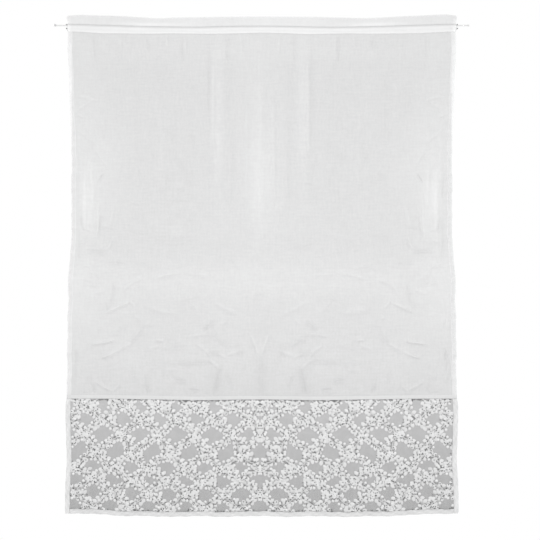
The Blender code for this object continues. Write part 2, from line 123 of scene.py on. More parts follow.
def crease_rows():
    """Creases of the left half, and their likes on the right half, a little uneven."""
    left = [  # x y x2 y2 (photo pixels), bow, half, out (mm), edge
        (208, 44, 206, 112, 3, 5, -0.7, 0), (213, 60, 212, 150, -2, 7, 1.3, 0),
        (180, 33, 181, 58, 0, 4.5, -1.5, 1), (184, 34, 185, 50, 0, 4, 1.0, 0),
        (166, 33, 166, 44, 0, 5, 1.0, 0), (226, 33, 225, 60, 1, 5.5, -1.0, 0),
        (97, 207, 96, 236, 2, 5, 2.0, 1), (90, 168, 92, 206, 3, 7, 1.4, 0),
        (84, 176, 84, 232, -2, 6, 1.3, 0), (113, 205, 108, 226, 1, 6, 0.8, 0),
        (86, 250, 107, 250.5, -3, 4.5, -2.0, 1), (112, 236, 107, 248, 2, 4.5, 1.4, 1),
        (107, 262, 124, 263, 2, 4.5, -1.2, 0), (144, 266, 160, 267, -2, 4, -1.2, 1),
        (155, 277, 181, 271, 4, 4.5, 2.1, 1), (187, 271, 207, 273, -3, 4.8, 1.5, 1),
        (122, 290, 142, 278, 7, 5, 1.9, 1), (82, 281, 103, 284, -3, 5, -1.4, 1),
        (105, 312, 130, 300, -4, 5, 2.1, 1), (92, 294, 104, 290, 2, 5, 1.2, 0),
        (113, 283, 109, 305, 2, 6, -1.4, 0), (129, 300, 134, 306, 1, 5, 1.3, 0),
        (91, 343.5, 114, 340, -4, 4.5, 2.6, 1), (100, 358, 116, 352, -2, 4.5, 2.6, 1),
        (116, 352, 130, 343, 2, 5, 2.0, 1), (130, 343, 141, 330, 2, 5.5, -1.9, 1),
        (138, 326, 152, 325.5, -1, 4.5, -1.2, 0), (112, 334, 126, 327, 1, 5, -1.2, 1),
        (156, 338.5, 163, 339, 0, 4.5, 1.7, 0), (148, 348, 158, 344, 1, 6, 1.1, 0),
        (202, 328, 214, 320, 2, 5, -2.1, 1), (221, 323, 226, 318, 1, 5, 1.6, 1),
        (192, 335, 210, 333, 4, 5, 2.0, 1), (210, 333, 230, 346, -3, 5, -1.9, 1),
        (196, 342, 212, 357, 4, 6, 1.9, 1), (206, 351, 221, 352, -3, 5.5, -2.0, 1),
        (217, 352, 228, 358, 1, 5, 2.4, 1), (226, 353, 240, 348, -2, 6, 1.5, 0),
        (208, 358, 219, 366, 2, 6, 1.5, 0), (176, 362, 213, 361.5, 1, 4.5, -1.8, 1),
        (250, 333, 258, 354, 2, 5.5, 2.0, 1), (219, 364, 212, 395, 2, 8, -2.2, 1),
        (204, 391, 210, 395, 1, 6, -1.8, 0), (174, 378, 186, 380, -1, 5, -2.4, 1),
        (188, 387.5, 199, 388.5, 0, 5, -2.2, 0), (161, 372, 174, 371, 2, 7, -1.1, 0),
        (84, 380, 92, 376, 1, 5.5, -1.6, 1),
        (111, 392, 119, 384, 2, 6, 1.5, 1), (91, 383, 93, 393, 0, 5.5, -1.7, 0),
        (129, 368, 133, 384, 2, 8, -1.1, 0), (144, 372, 147, 394, 1, 7, -1.0, 0),
        (74, 352, 73, 384, -2, 6, -1.4, 0), (70, 300, 72, 336, 2, 6, 1.0, 0),
        (76, 215, 78, 262, -2, 6, -1.3, 0), (78, 120, 79, 200, 2, 8, 0.7, 0),
        (232, 120, 231, 205, 2, 8, -0.9, 0), (246, 96, 245, 190, 1, 7, 0.9, 0),
        (160, 100, 161, 200, 2, 12, 0.6, 0), (135, 70, 136, 170, -2, 12, -0.6, 0),
        (120, 34, 119, 60, 0, 5, 0.7, 0), (146, 34, 147, 48, 0, 5, -0.8, 0),
        (92, 34, 94, 62, 1, 6, -0.7, 0), (240, 33, 241, 52, 0, 5, 0.8, 0),
        (150, 306, 176, 311, -4, 8, 1.2, 0), (180, 300, 200, 296, 3, 7, -1.0, 0),
        (214, 300, 238, 312, -3, 7, 1.1, 0), (236, 340, 246, 372, 3, 9, -1.1, 0),
        (160, 350, 186, 345, 4, 8, -1.0, 0), (126, 230, 150, 236, 3, 8, -0.6, 0),
        (170, 236, 196, 230, 3, 8, 0.6, 0), (205, 240, 236, 247, -3, 8, -0.6, 0),
        (74, 115, 82, 117, 1, 4.5, 1.3, 1), (77, 130, 94, 142, -1, 4.5, 1.4, 1),
        (96, 150, 105, 164, -1, 5, 1.1, 1), (102, 173, 97, 182, 1, 4, -1.6, 1),
        (99, 210, 97, 232, 0.5, 4, 1.9, 1), (82, 228, 92, 231, 1, 4.5, 1.3, 1),
        (79, 243, 88, 239, -1, 4.5, 1.3, 1), (100, 229, 113, 228, 3, 4.5, -1.1, 0),
        (75, 176, 77, 198, 1, 4, -1.4, 0), (79, 216, 82, 230, 0, 5, -1.3, 0),
        (130, 200, 138, 201, 0, 4.5, 0.9, 0), (73, 110, 92, 98, -4, 5, 1.0, 1),
        (77, 96, 95, 99, 2, 5, 0.9, 0), (138, 168, 142, 180, 1, 5, -0.7, 0),
        (96, 343.5, 113, 340, -2, 3.6, 1.8, 1), (100.5, 357.5, 110, 353.5, -1, 3.6, 2.0, 1),
        (110, 353.5, 119, 349, 1, 4, 1.2, 1),
        (95, 381.5, 111, 390.5, -2, 4.5, 2.6, 1), (82, 392, 92, 393, 0, 4, -1.7, 0),
        (112, 390.5, 116, 387, 0, 4, 1.4, 1),
        
        (144, 383, 149.5, 394, 1, 4.5, -1.5, 1), (154, 362.5, 202, 362.5, 0, 3.6, -1.0, 1),
        (74, 349, 74.5, 362, 0, 4.5, -1.5, 0), (70.5, 366, 73.5, 380, 1, 5, 1.3, 0),
        (104.5, 313, 128, 303, 3, 4.5, 1.2, 1), (105, 301, 106, 310, 0, 4.5, -1.0, 0),
        (134, 316, 140, 317, 0, 4.5, 0.9, 0), (168, 307, 172, 308.5, 0, 4.5, 0.9, 0),
        (74, 262, 92, 268, 2, 4.5, 1.0, 1), (88, 272, 100, 279, -2, 4.5, -1.0, 1),
        (74, 318, 80, 330, 1, 5, 1.0, 1), (190, 300, 198, 310, 1, 5, 0.9, 1),
        (152, 152, 156, 160, 0, 5, -0.6, 0), (190, 130, 193, 150, 1, 6, -0.6, 0),
        (182, 392, 196, 394.5, 0, 4, -1.3, 0), (226, 372, 232, 386, 2, 6, -1.2, 0),
    ]
    rows = []
    for x, y, x2, y2, bow, half, out, edge in left:
        a, b = at_px(x, y), at_px(x2, y2)
        half *= 0.8
        rows.append(Crease(*a, *b, bow, half, out, edge))
        shift, size = rng.uniform(-0.5, 0.5, 2) * 1.2, rng.uniform(0.9, 1.1)
        a = at_px(2 * MIDDLE - x + shift[0], y + shift[1])
        b = at_px(2 * MIDDLE - x2 + shift[0], y2 + shift[1])
        rows.append(Crease(*a, *b, -bow, half * rng.uniform(0.95, 1.08), out * size, -edge))
    for x, y, x2, y2, bow, half, out, edge in [
        (259.5, 356, 259.5, 396, 0, 11, -1.6, 0),
        (254, 293.5, 265, 293.5, 0, 5, -1.1, 0), (259, 60, 258, 240, 1, 12, 1.0, 0),
    ]:
        rows.append(Crease(*at_px(x, y), *at_px(x2, y2), bow, half, out, edge))
    return rows


CREASES = crease_rows()

# painted highlights on the voile, where the cloth lies close to the light; where much is negative, painted shade
# x, y: middle (photo pixels); rx, ry: reach (pixels); much: how much lighter, darker when negative
PaintedLight = namedtuple("PaintedLight", "x y rx ry much")
PAINTED_LIGHTS = [
    PaintedLight(259.5, 180, 14, 54, 0.062), PaintedLight(259.5, 150, 28, 90, 0.034),
    PaintedLight(112, 165, 24, 50, 0.035), PaintedLight(407, 165, 24, 50, 0.035),
    PaintedLight(122, 302, 26, 38, 0.02), PaintedLight(397, 302, 26, 38, 0.02),
    PaintedLight(217, 118, 5.5, 76, 0.05), PaintedLight(302, 118, 5.5, 76, 0.05),
    PaintedLight(208, 74, 2.2, 40, -0.02), PaintedLight(311, 74, 2.2, 40, -0.02),
    PaintedLight(229, 90, 6, 34, -0.02), PaintedLight(290, 90, 6, 34, -0.02),
    PaintedLight(88, 200, 10, 34, 0.06), PaintedLight(431, 200, 10, 34, 0.06),
    PaintedLight(84, 192, 4, 22, 0.05), PaintedLight(435, 192, 4, 22, 0.05),
    PaintedLight(74, 180, 32, 140, 0.07), PaintedLight(445, 180, 32, 140, 0.07),
    PaintedLight(74, 300, 30, 40, 0.04), PaintedLight(445, 300, 30, 40, 0.04),
    PaintedLight(259.5, 281, 230, 20, 0.05), PaintedLight(259.5, 283, 120, 2.6, 0.015),
    PaintedLight(259.5, 44, 300, 16, 0.035), PaintedLight(259.5, 398, 300, 30, -0.06),
    PaintedLight(259.5, 377, 8, 22, -0.04), PaintedLight(214, 384, 9, 14, -0.03), PaintedLight(305, 384, 9, 14, -0.03),
]


# ------------------------------------------------------------------- functions
def smooth(t):
    t = np.clip(t, 0.0, 1.0)
    return t * t * (3.0 - 2.0 * t)


def curve(keys, values, at):
    """A smooth curve through a table, at any array of places."""
    ks, vs = np.asarray(keys, float), np.asarray(values, float)
    if ks[0] > ks[-1]:
        ks, vs = ks[::-1], vs[::-1]
    slope = np.empty(len(ks))
    slope[1:-1] = (vs[2:] - vs[:-2]) / (ks[2:] - ks[:-2])
    slope[0] = (vs[1] - vs[0]) / (ks[1] - ks[0])
    slope[-1] = (vs[-1] - vs[-2]) / (ks[-1] - ks[-2])
    at = np.clip(np.asarray(at, float), ks[0], ks[-1])
    i = np.clip(np.searchsorted(ks, at, side="right") - 1, 0, len(ks) - 2)
    h = ks[i + 1] - ks[i]
    t = (at - ks[i]) / h
    return ((2 * t**3 - 3 * t**2 + 1) * vs[i] + (t**3 - 2 * t**2 + t) * h * slope[i]
            + (3 * t**2 - 2 * t**3) * vs[i + 1] + (t**3 - t**2) * h * slope[i + 1])


def station(value, x):
    return curve([s.x for s in STATIONS], [getattr(s, value) for s in STATIONS], x)


def half_width(level):
    return curve([o.level for o in OUTLINE], [o.half for o in OUTLINE], level)


def hump(t):
    return np.where(np.abs(t) < 1.0, 0.5 * (1.0 + np.cos(np.pi * np.clip(t, -1, 1))), 0.0)


def depth(x, level):
    """How far the cloth's middle lies behind the rod's axis, as in the solids."""
    x, level = np.broadcast_arrays(np.asarray(x, float), np.asarray(level, float))
    side = half_width(level) - SOFT_EDGE
    x = np.clip(x, -side, side)
    level = np.maximum(level, BOTTOM_LEVEL + SOFT_EDGE)
    out = np.zeros(x.shape)
    for f in FOLDS:
        down = (f.top - level) / (f.top - f.low)
        reach = smooth((f.top - level) / f.fade)
        if f.low > BOTTOM_LEVEL:
            reach = reach * smooth((level - f.low) / f.fade)
        inside = (level <= f.top) & (level >= f.low)
        out += np.where(inside, f.out * reach * hump((x - f.x - f.lean * down) / f.half), 0.0)
    for s in SWELLS:
        out += s.out * hump((level - s.level) / s.half)
    return -out * smooth((POCKET_FOOT - 2.0 - level) / 90.0)


def creasing(x, level):
    """Height of the fine creases to the front, and the painted light along them: lighter on a ridge's crest, darker
    in a trough, with painted shade on the side below.
    """
    x, level = np.broadcast_arrays(np.asarray(x, float), np.asarray(level, float))
    out, painted_light = np.zeros(x.shape), np.zeros(x.shape)
    for c in CREASES:
        dx, dz = c.x2 - c.x, c.level2 - c.level
        length = math.hypot(dx, dz)
        ux, uz = dx / length, dz / length
        t = ((x - c.x) * ux + (level - c.level) * uz) / length
        bow = c.bow * (1.0 - (2.0 * t - 1.0) ** 2)
        away = (-(x - c.x) * uz + (level - c.level) * ux - bow) / c.half
        ends = smooth((t + 0.12) / 0.34) * smooth((1.12 - t) / 0.34)
        line = np.exp(-away**2)
        # painted highlight on the crest (painted shade in a trough) and painted shade on the side below it
        strength = 0.034 * min(abs(c.out), 2.2) * min(1.0, 5.5 / c.half)
        below = -1.0 if ux > 0.25 else (1.0 if ux < -0.25 else (c.edge or 1.0))
        painted_light += strength * ends * (np.sign(c.out) * np.exp(-(away * 1.25) ** 2)
                                    - 0.8 * np.exp(-((away - 1.35 * below) * 1.25) ** 2))
        if c.edge:
            line = 0.55 * line + 1.1 * c.edge * away * np.exp(-away**2)
        out += c.out * ends * line
    return out, painted_light


# soft unevenness all over the voile: long waves laid over each other at random
waves_of_cloth = [
    (rng.uniform(0.55, 1.0) * length / 190.0, 2 * np.pi / length * math.cos(a),
     2 * np.pi / length * math.sin(a), rng.uniform(0, 2 * np.pi))
    for length, a in zip(np.linspace(34, 120, 26), rng.uniform(0, np.pi, 26))]


def unevenness(x, level):
    total = np.zeros(np.shape(x))
    mirrored = -np.abs(x + 6.4)
    for much, kx, kz, phase in waves_of_cloth:
        total += much * 0.30 * np.sin(kx * mirrored + kz * level + phase)
    return total


def foot_drop(x, level):
    """How far the pocket's lower seam hangs below an even line."""
    drop = curve((0, 60, 130, 200, 270, 330, 385, 440, 500, 550, 620, 670, 704),
                 (-0.7, 0.0, 1.3, 0.0, -1.5, -1.2, 0.2, 1.4, 2.6, 3.7, 2.7, 1.5, 0.8), np.abs(x))
    return drop * smooth((-9.5 - level) / 9.0) * smooth((level + 75.0) / 48.0)


def hung(x, level):
    """Height of the cloth's point that has this level at the sides."""
    x, level = np.broadcast_arrays(np.asarray(x, float), np.asarray(level, float))
    t = smooth((POCKET_FOOT - level) / (POCKET_FOOT - SEAM_LEVEL))
    upper = station("rod", x) * (1 - t) + station("seam", x) * t
    t = smooth((SEAM_LEVEL - level) / (SEAM_LEVEL - BOTTOM_LEVEL))
    lower = station("seam", x) * (1 - t) + station("bottom", x) * t
    return level - np.where(level >= SEAM_LEVEL, upper, lower) - foot_drop(x, level)


def header_wave(x):
    return 1.6 * np.sin(x / 61.0 + 0.6) + 1.0 * np.sin(x / 33.0 + 2.0)


def lace_offset(level):
    return LACE_BEHIND * smooth((level - (SEAM_LEVEL - 14.0)) / 12.0)


def lace_pucker(x, level):
    """The lace's own small unevenness, none inside the binding strips."""
    side = half_width(level) - 26.0
    free = smooth((side - np.abs(x)) / 30.0) * smooth((level - BOTTOM_LEVEL - 26.0) / 30.0)
    free = free * smooth((SEAM_LEVEL - 8.0 - level) / 20.0)
    wave = (0.55 * np.sin(x / 21.0 + level / 34.0) + 0.5 * np.sin(x / 13.0 - level / 17.0 + 1.3)
            + 0.45 * np.sin(level / 11.0 + x / 47.0 + 0.4))
    return wave * free


def lace_middle(x, level):
    return depth(x, level) + lace_offset(level) - lace_pucker(x, level)


def new_object(name, points, faces, materials, sharp=40.0, zone=None, light=None):
    """One mesh object from points in mm; faces is one array of quads or a list of arrays."""
    points = np.asarray(points, float) * MM
    groups = faces if isinstance(faces, list) else [faces]
    mesh = bpy.data.meshes.new(name)
    loops = np.concatenate([g.reshape(-1) for g in groups]).astype(np.int32)
    sizes = np.concatenate([np.full(len(g), g.shape[1]) for g in groups])
    starts = np.concatenate([[0], np.cumsum(sizes)[:-1]]).astype(np.int32)
    mesh.vertices.add(len(points))
    mesh.vertices.foreach_set("co", points.reshape(-1).astype(np.float32))
    mesh.loops.add(len(loops))
    mesh.loops.foreach_set("vertex_index", loops)
    mesh.polygons.add(len(sizes))
    mesh.polygons.foreach_set("loop_start", starts)
    if zone is not None:
        mesh.polygons.foreach_set("material_index", np.asarray(zone, np.int32))
    mesh.update(calc_edges=True)
    mesh.validate()
    mesh.shade_smooth()
    mesh.set_sharp_from_angle(angle=math.radians(sharp))
    if light is not None:
        layer = mesh.attributes.new("light", "FLOAT", "POINT")
        layer.data.foreach_set("value", np.asarray(light, np.float32))
    for m in materials:
        mesh.materials.append(m)
    piece = bpy.data.objects.new(name, mesh)
    bpy.context.collection.objects.link(piece)
    return piece


def grid_faces(rows, columns, start=0, flip=False):
    i = np.arange(rows - 1)[:, None] * columns + start
    j = np.arange(columns - 1)[None, :]
    a = (i + j).reshape(-1)
    quads = np.stack([a, a + columns, a + columns + 1, a + 1], 1)
    return quads[:, ::-1] if flip else quads


# ------------------------------------------------------------------- materials
def cloth_material(name, grey, alpha, streak=0.10, weave=0.25, lit=True, cloud=0.03,
                   roughness=0.9, sheen=0.12, thread_mm=0.8, net=0.0):
    """Woven cloth: slubs along both threads, soft clouds, a fine weave as bump."""
    m = bpy.data.materials.new(name)
    m.use_nodes = True
    nodes, links = m.node_tree.nodes, m.node_tree.links
    shader = nodes["Principled BSDF"]
    shader.inputs["Roughness"].default_value = roughness
    shader.inputs["Alpha"].default_value = alpha
    shader.inputs["Sheen Weight"].default_value = sheen
    shader.inputs["Sheen Roughness"].default_value = 0.6
    shader.inputs["Specular IOR Level"].default_value = 0.15
    place = nodes.new("ShaderNodeTexCoord")

    def noise_at(scale, detail, size, rough=0.5):
        mapping = nodes.new("ShaderNodeMapping")
        mapping.inputs["Scale"].default_value = scale
        links.new(place.outputs["Object"], mapping.inputs["Vector"])
        noise = nodes.new("ShaderNodeTexNoise")
        noise.inputs["Scale"].default_value = size
        noise.inputs["Detail"].default_value = detail
        noise.inputs["Roughness"].default_value = rough
        links.new(mapping.outputs["Vector"], noise.inputs["Vector"])
        return noise.outputs["Fac"]

    def math_node(kind, a, b):
        node = nodes.new("ShaderNodeMath")
        node.operation = kind
        for k, v in enumerate((a, b)):
            if isinstance(v, (int, float)):
                node.inputs[k].default_value = v
            else:
                links.new(v, node.inputs[k])
        return node.outputs[0]

    def share(value, much):
        return math_node("MULTIPLY", math_node("SUBTRACT", value, 0.5), much)

    up = noise_at((150.0, 60.0, 24.0), 2.0, 1.0)            # slubs along the warp
    along = noise_at((22.0, 60.0, 140.0), 2.0, 1.0)         # slubs along the weft
    fleck = noise_at((1.0, 1.0, 1.0), 2.0, 130.0)
    clouds = noise_at((1.0, 1.0, 1.0), 3.0, 9.0)
    total = math_node("ADD", share(up, streak), share(along, streak))
    total = math_node("ADD", total, share(fleck, streak))
    total = math_node("ADD", total, share(clouds, cloud))
    total = math_node("ADD", total, 1.0)
    if lit:
        # painted light and shade, read from the mesh's 'light' attribute
        light = nodes.new("ShaderNodeAttribute")
        light.attribute_name = "light"
        total = math_node("ADD", total, light.outputs["Fac"])
    if net:
        cells = nodes.new("ShaderNodeTexVoronoi")
        cells.feature = "DISTANCE_TO_EDGE"
        cells.inputs["Scale"].default_value = 1.0 / (2.4 * MM)
        cells.inputs["Randomness"].default_value = 0.35
        links.new(place.outputs["Object"], cells.inputs["Vector"])
        mesh_line = math_node("LESS_THAN", cells.outputs["Distance"], 0.14)
        total = math_node("ADD", total, share(mesh_line, net))
    mix = nodes.new("ShaderNodeVectorMath")
    mix.operation = "SCALE"
    mix.inputs[0].default_value = (grey, grey * 1.001, grey * 1.003)
    links.new(total, mix.inputs["Scale"])
    links.new(mix.outputs["Vector"], shader.inputs["Base Color"])

    waves = []
    for axis in ("X", "Z"):
        wave = nodes.new("ShaderNodeTexWave")
        wave.bands_direction = axis
        wave.inputs["Scale"].default_value = 0.314 / (thread_mm * MM)
        wave.inputs["Distortion"].default_value = 1.2
        wave.inputs["Detail"].default_value = 1.0
        links.new(place.outputs["Object"], wave.inputs["Vector"])
        waves.append(wave.outputs["Fac"])
    threads = math_node("ADD", math_node("MULTIPLY", waves[0], 0.5), math_node("MULTIPLY", waves[1], 0.5))
    height = math_node("ADD", math_node("MULTIPLY", threads, 0.35),
                       math_node("ADD", math_node("MULTIPLY", up, 0.7), math_node("MULTIPLY", along, 0.7)))
    bump = nodes.new("ShaderNodeBump")
    bump.inputs["Strength"].default_value = weave
    bump.inputs["Distance"].default_value = 0.0006
    links.new(height, bump.inputs["Height"])
    links.new(bump.outputs["Normal"], shader.inputs["Normal"])
    return m


def hard_material(name, color, roughness, speck=0.01):
    m = bpy.data.materials.new(name)
    m.use_nodes = True
    nodes, links = m.node_tree.nodes, m.node_tree.links
    shader = nodes["Principled BSDF"]
    shader.inputs["Roughness"].default_value = roughness
    shader.inputs["Coat Weight"].default_value = 0.15
    place = nodes.new("ShaderNodeTexCoord")
    noise = nodes.new("ShaderNodeTexNoise")
    noise.inputs["Scale"].default_value = 90.0
    noise.inputs["Detail"].default_value = 3.0
    links.new(place.outputs["Object"], noise.inputs["Vector"])
    ramp = nodes.new("ShaderNodeValToRGB")
    ramp.color_ramp.elements[0].color = (*[c - speck for c in color], 1.0)
    ramp.color_ramp.elements[1].color = (*[c + speck for c in color], 1.0)
    links.new(noise.outputs["Fac"], ramp.inputs["Fac"])
    links.new(ramp.outputs["Color"], shader.inputs["Base Color"])
    bump = nodes.new("ShaderNodeBump")
    bump.inputs["Strength"].default_value = 0.06
    bump.inputs["Distance"].default_value = 0.0003
    links.new(noise.outputs["Fac"], bump.inputs["Height"])
    links.new(bump.outputs["Normal"], shader.inputs["Normal"])
    return m


VOILE = cloth_material("voile", 0.4025, 0.72, weave=0.20)
# the doubled, pocket, hem and fold-edge copies of the voile are lighter greys: painted light where layers lie over
# each other
DOUBLED = cloth_material("voile_doubled", 0.446, 0.84, streak=0.06)
POCKET_CLOTH = cloth_material("voile_pocket", 0.508, 0.80, streak=0.05)
HEM_CLOTH = cloth_material("voile_hem", 0.455, 0.80, streak=0.06)
# darker copy of the voile: painted shade in the stitched groove above the rod
GROOVE_SHADE = cloth_material("voile_groove_painted_shade", 0.372, 0.84, streak=0.04)
SELVAGE = cloth_material("voile_fold_edge", 0.460, 0.42, streak=0.06)
BINDING = cloth_material("binding_cloth", 0.418, 0.90, streak=0.08)
NET_CLOTH = cloth_material("lace_net", 0.240, 0.62, streak=0.08, thread_mm=1.6, net=0.12)
PETAL = cloth_material("lace_petal_thread", 0.392, 1.0, streak=0.05, thread_mm=0.9)
LEAF = cloth_material("lace_leaf_thread", 0.374, 1.0, streak=0.05, thread_mm=0.9)
STEM = cloth_material("lace_stem_thread", 0.385, 1.0, streak=0.04, thread_mm=0.6)
# near-black plates: painted shade spots on the lace
SHADE_SPOT = cloth_material("lace_painted_shade_spot", 0.065, 1.0, streak=0.03)
# dark rims under the motifs: painted shadow on the net
RIM_SHADOW = cloth_material("lace_painted_rim_shadow", 0.225, 1.0, streak=0.03)
THREAD = cloth_material("sewing_thread", 0.400, 1.0, streak=0.02, thread_mm=0.4)
TACK_SHADE = cloth_material("tack_thread_painted_shade", 0.065, 1.0, streak=0.02, thread_mm=0.4)
ROD_PAINT = hard_material("white_rod_paint", (0.395, 0.395, 0.395), 0.35)
CAP_PLASTIC = hard_material("white_cap_plastic", (0.30, 0.30, 0.306), 0.45)
CAP_WHITE = hard_material("white_plain_cap_plastic", (0.395, 0.395, 0.395), 0.45)


# ----------------------------------------------------------------- voile panel
# the pocket's wall seen from the side: height against the rod's axis, inner and
# outer half widths of the teardrop, and the painted light on the cloth there, painted shade where negative
Wall = namedtuple("Wall", "up inner outer light")
POCKET = [
    Wall(3.9, 0.0, 0.65, 0.0), Wall(3.2, 1.15, 1.75, 0.0), Wall(1.9, 2.35, 2.95, -0.07),
    Wall(0.3, 3.05, 3.65, -0.15), Wall(-1.4, 3.0, 3.6, -0.06), Wall(-3.8, 2.4, 3.0, 0.06),
    Wall(-8.0, 1.6, 2.2, 0.05), Wall(-12.5, 1.1, 1.7, 0.0), Wall(-17.0, 0.75, 1.3, 0.06),
    Wall(-20.9, 0.0, 0.6, 0.10),
]
COLUMNS = 200
EDGE = np.array([0.0, 1.6, 3.4, 5.5, 9.5, 14.2])      # columns in the side hem
N_EDGE = len(EDGE)
COUNT = COLUMNS + 1 + 2 * N_EDGE


def across(half):
    """Columns from edge to edge at one level, closer together in the side hems."""
    side = half - HEM_WIDTH
    return np.concatenate([-half + EDGE, np.linspace(-side, side, COLUMNS + 1), (half - EDGE)[::-1]])


def edge_ripple(level):
    """The side edges' own small unevenness."""
    return 0.8 * np.sin(level / 19.0) + 0.55 * np.sin(level / 7.3 + 1.0)


# painted light and shade of the voile at each place, summed from the table above
def light_at(x, level):
    px, py = x / 3.6 + 261.28, 24.85 - level / 3.6
    total = np.zeros(np.shape(x))
    for g in PAINTED_LIGHTS:
        total += g.much * np.exp(-((px - g.x) / g.rx) ** 2 * 1.2 - np.abs((py - g.y) / g.ry) ** 2.6)
    return total


def hem_light(x, level):
    """The turned hem's painted highlight, strongest near the top, and a little uneven tone all along."""
    extra = curve((-520, -450, -400, -340, -270, -234, -198, -162, -126, -98, -60, -20, 40),
                  (0.0, 0.05, 0.16, 0.20, 0.17, 0.16, 0.17, 0.13, 0.12, 0.13, 0.10, 0.06, 0.0), level)
    return (extra * smooth((np.abs(x) - 681.0) / 5.0) - 0.02
            + 0.022 * np.sin(level / 27.0 + 1.0) * np.sin(level / 11.0)
            + 0.016 * np.sin(level / 4.7 + np.sign(x)))


def free_points():
    """Places (x, level) on the free voile: a staggered net, closer along each crease."""
    cell = 4.2
    taken, fine = set(), []
    for c in CREASES:
        dx, dz = c.x2 - c.x, c.level2 - c.level
        length = math.hypot(dx, dz)
        ux, uz = dx / length, dz / length
        step = min(max(1.5 * c.half, 5.5), 12.0)
        for t in np.linspace(-0.08, 1.08, max(4, int(length * 1.16 / step))):
            bow = c.bow * (1.0 - (2.0 * t - 1.0) ** 2)
            for off in (-1.7, -0.75, 0.0, 0.75, 1.7):
                away = bow + off * c.half
                p = (c.x + dx * t - uz * away, c.level + dz * t + ux * away)
                key = (round(p[0] / 2.4), round(p[1] / 2.4))
                if key in taken:
                    continue
                taken.add(key)
                fine.append(p)
    near = {(math.floor(x / cell), math.floor(z / cell)) for x, z in fine}
    coarse = []
    rows = np.arange(FREE_TOP - 7.5, FREE_FOOT + 5.0, -8.35)
    for n, level in enumerate(rows):
        for x in np.arange(-680.0 + (n % 2) * 4.3, 680.0, 8.6):
            i, j = math.floor(x / cell), math.floor(level / cell)
            if (i, j) in near or any((i + a, j + b) in near for a, b in ((1, 0), (-1, 0), (0, 1), (0, -1))):
                continue
            coarse.append((x, level))
    points = np.array(fine + coarse)
    side = half_width(points[:, 1]) - HEM_WIDTH - 3.4
    ok = ((np.abs(points[:, 0]) < side) & (points[:, 1] < FREE_TOP - 2.6)
          & (points[:, 1] > FREE_FOOT + 3.0))
    return points[ok]


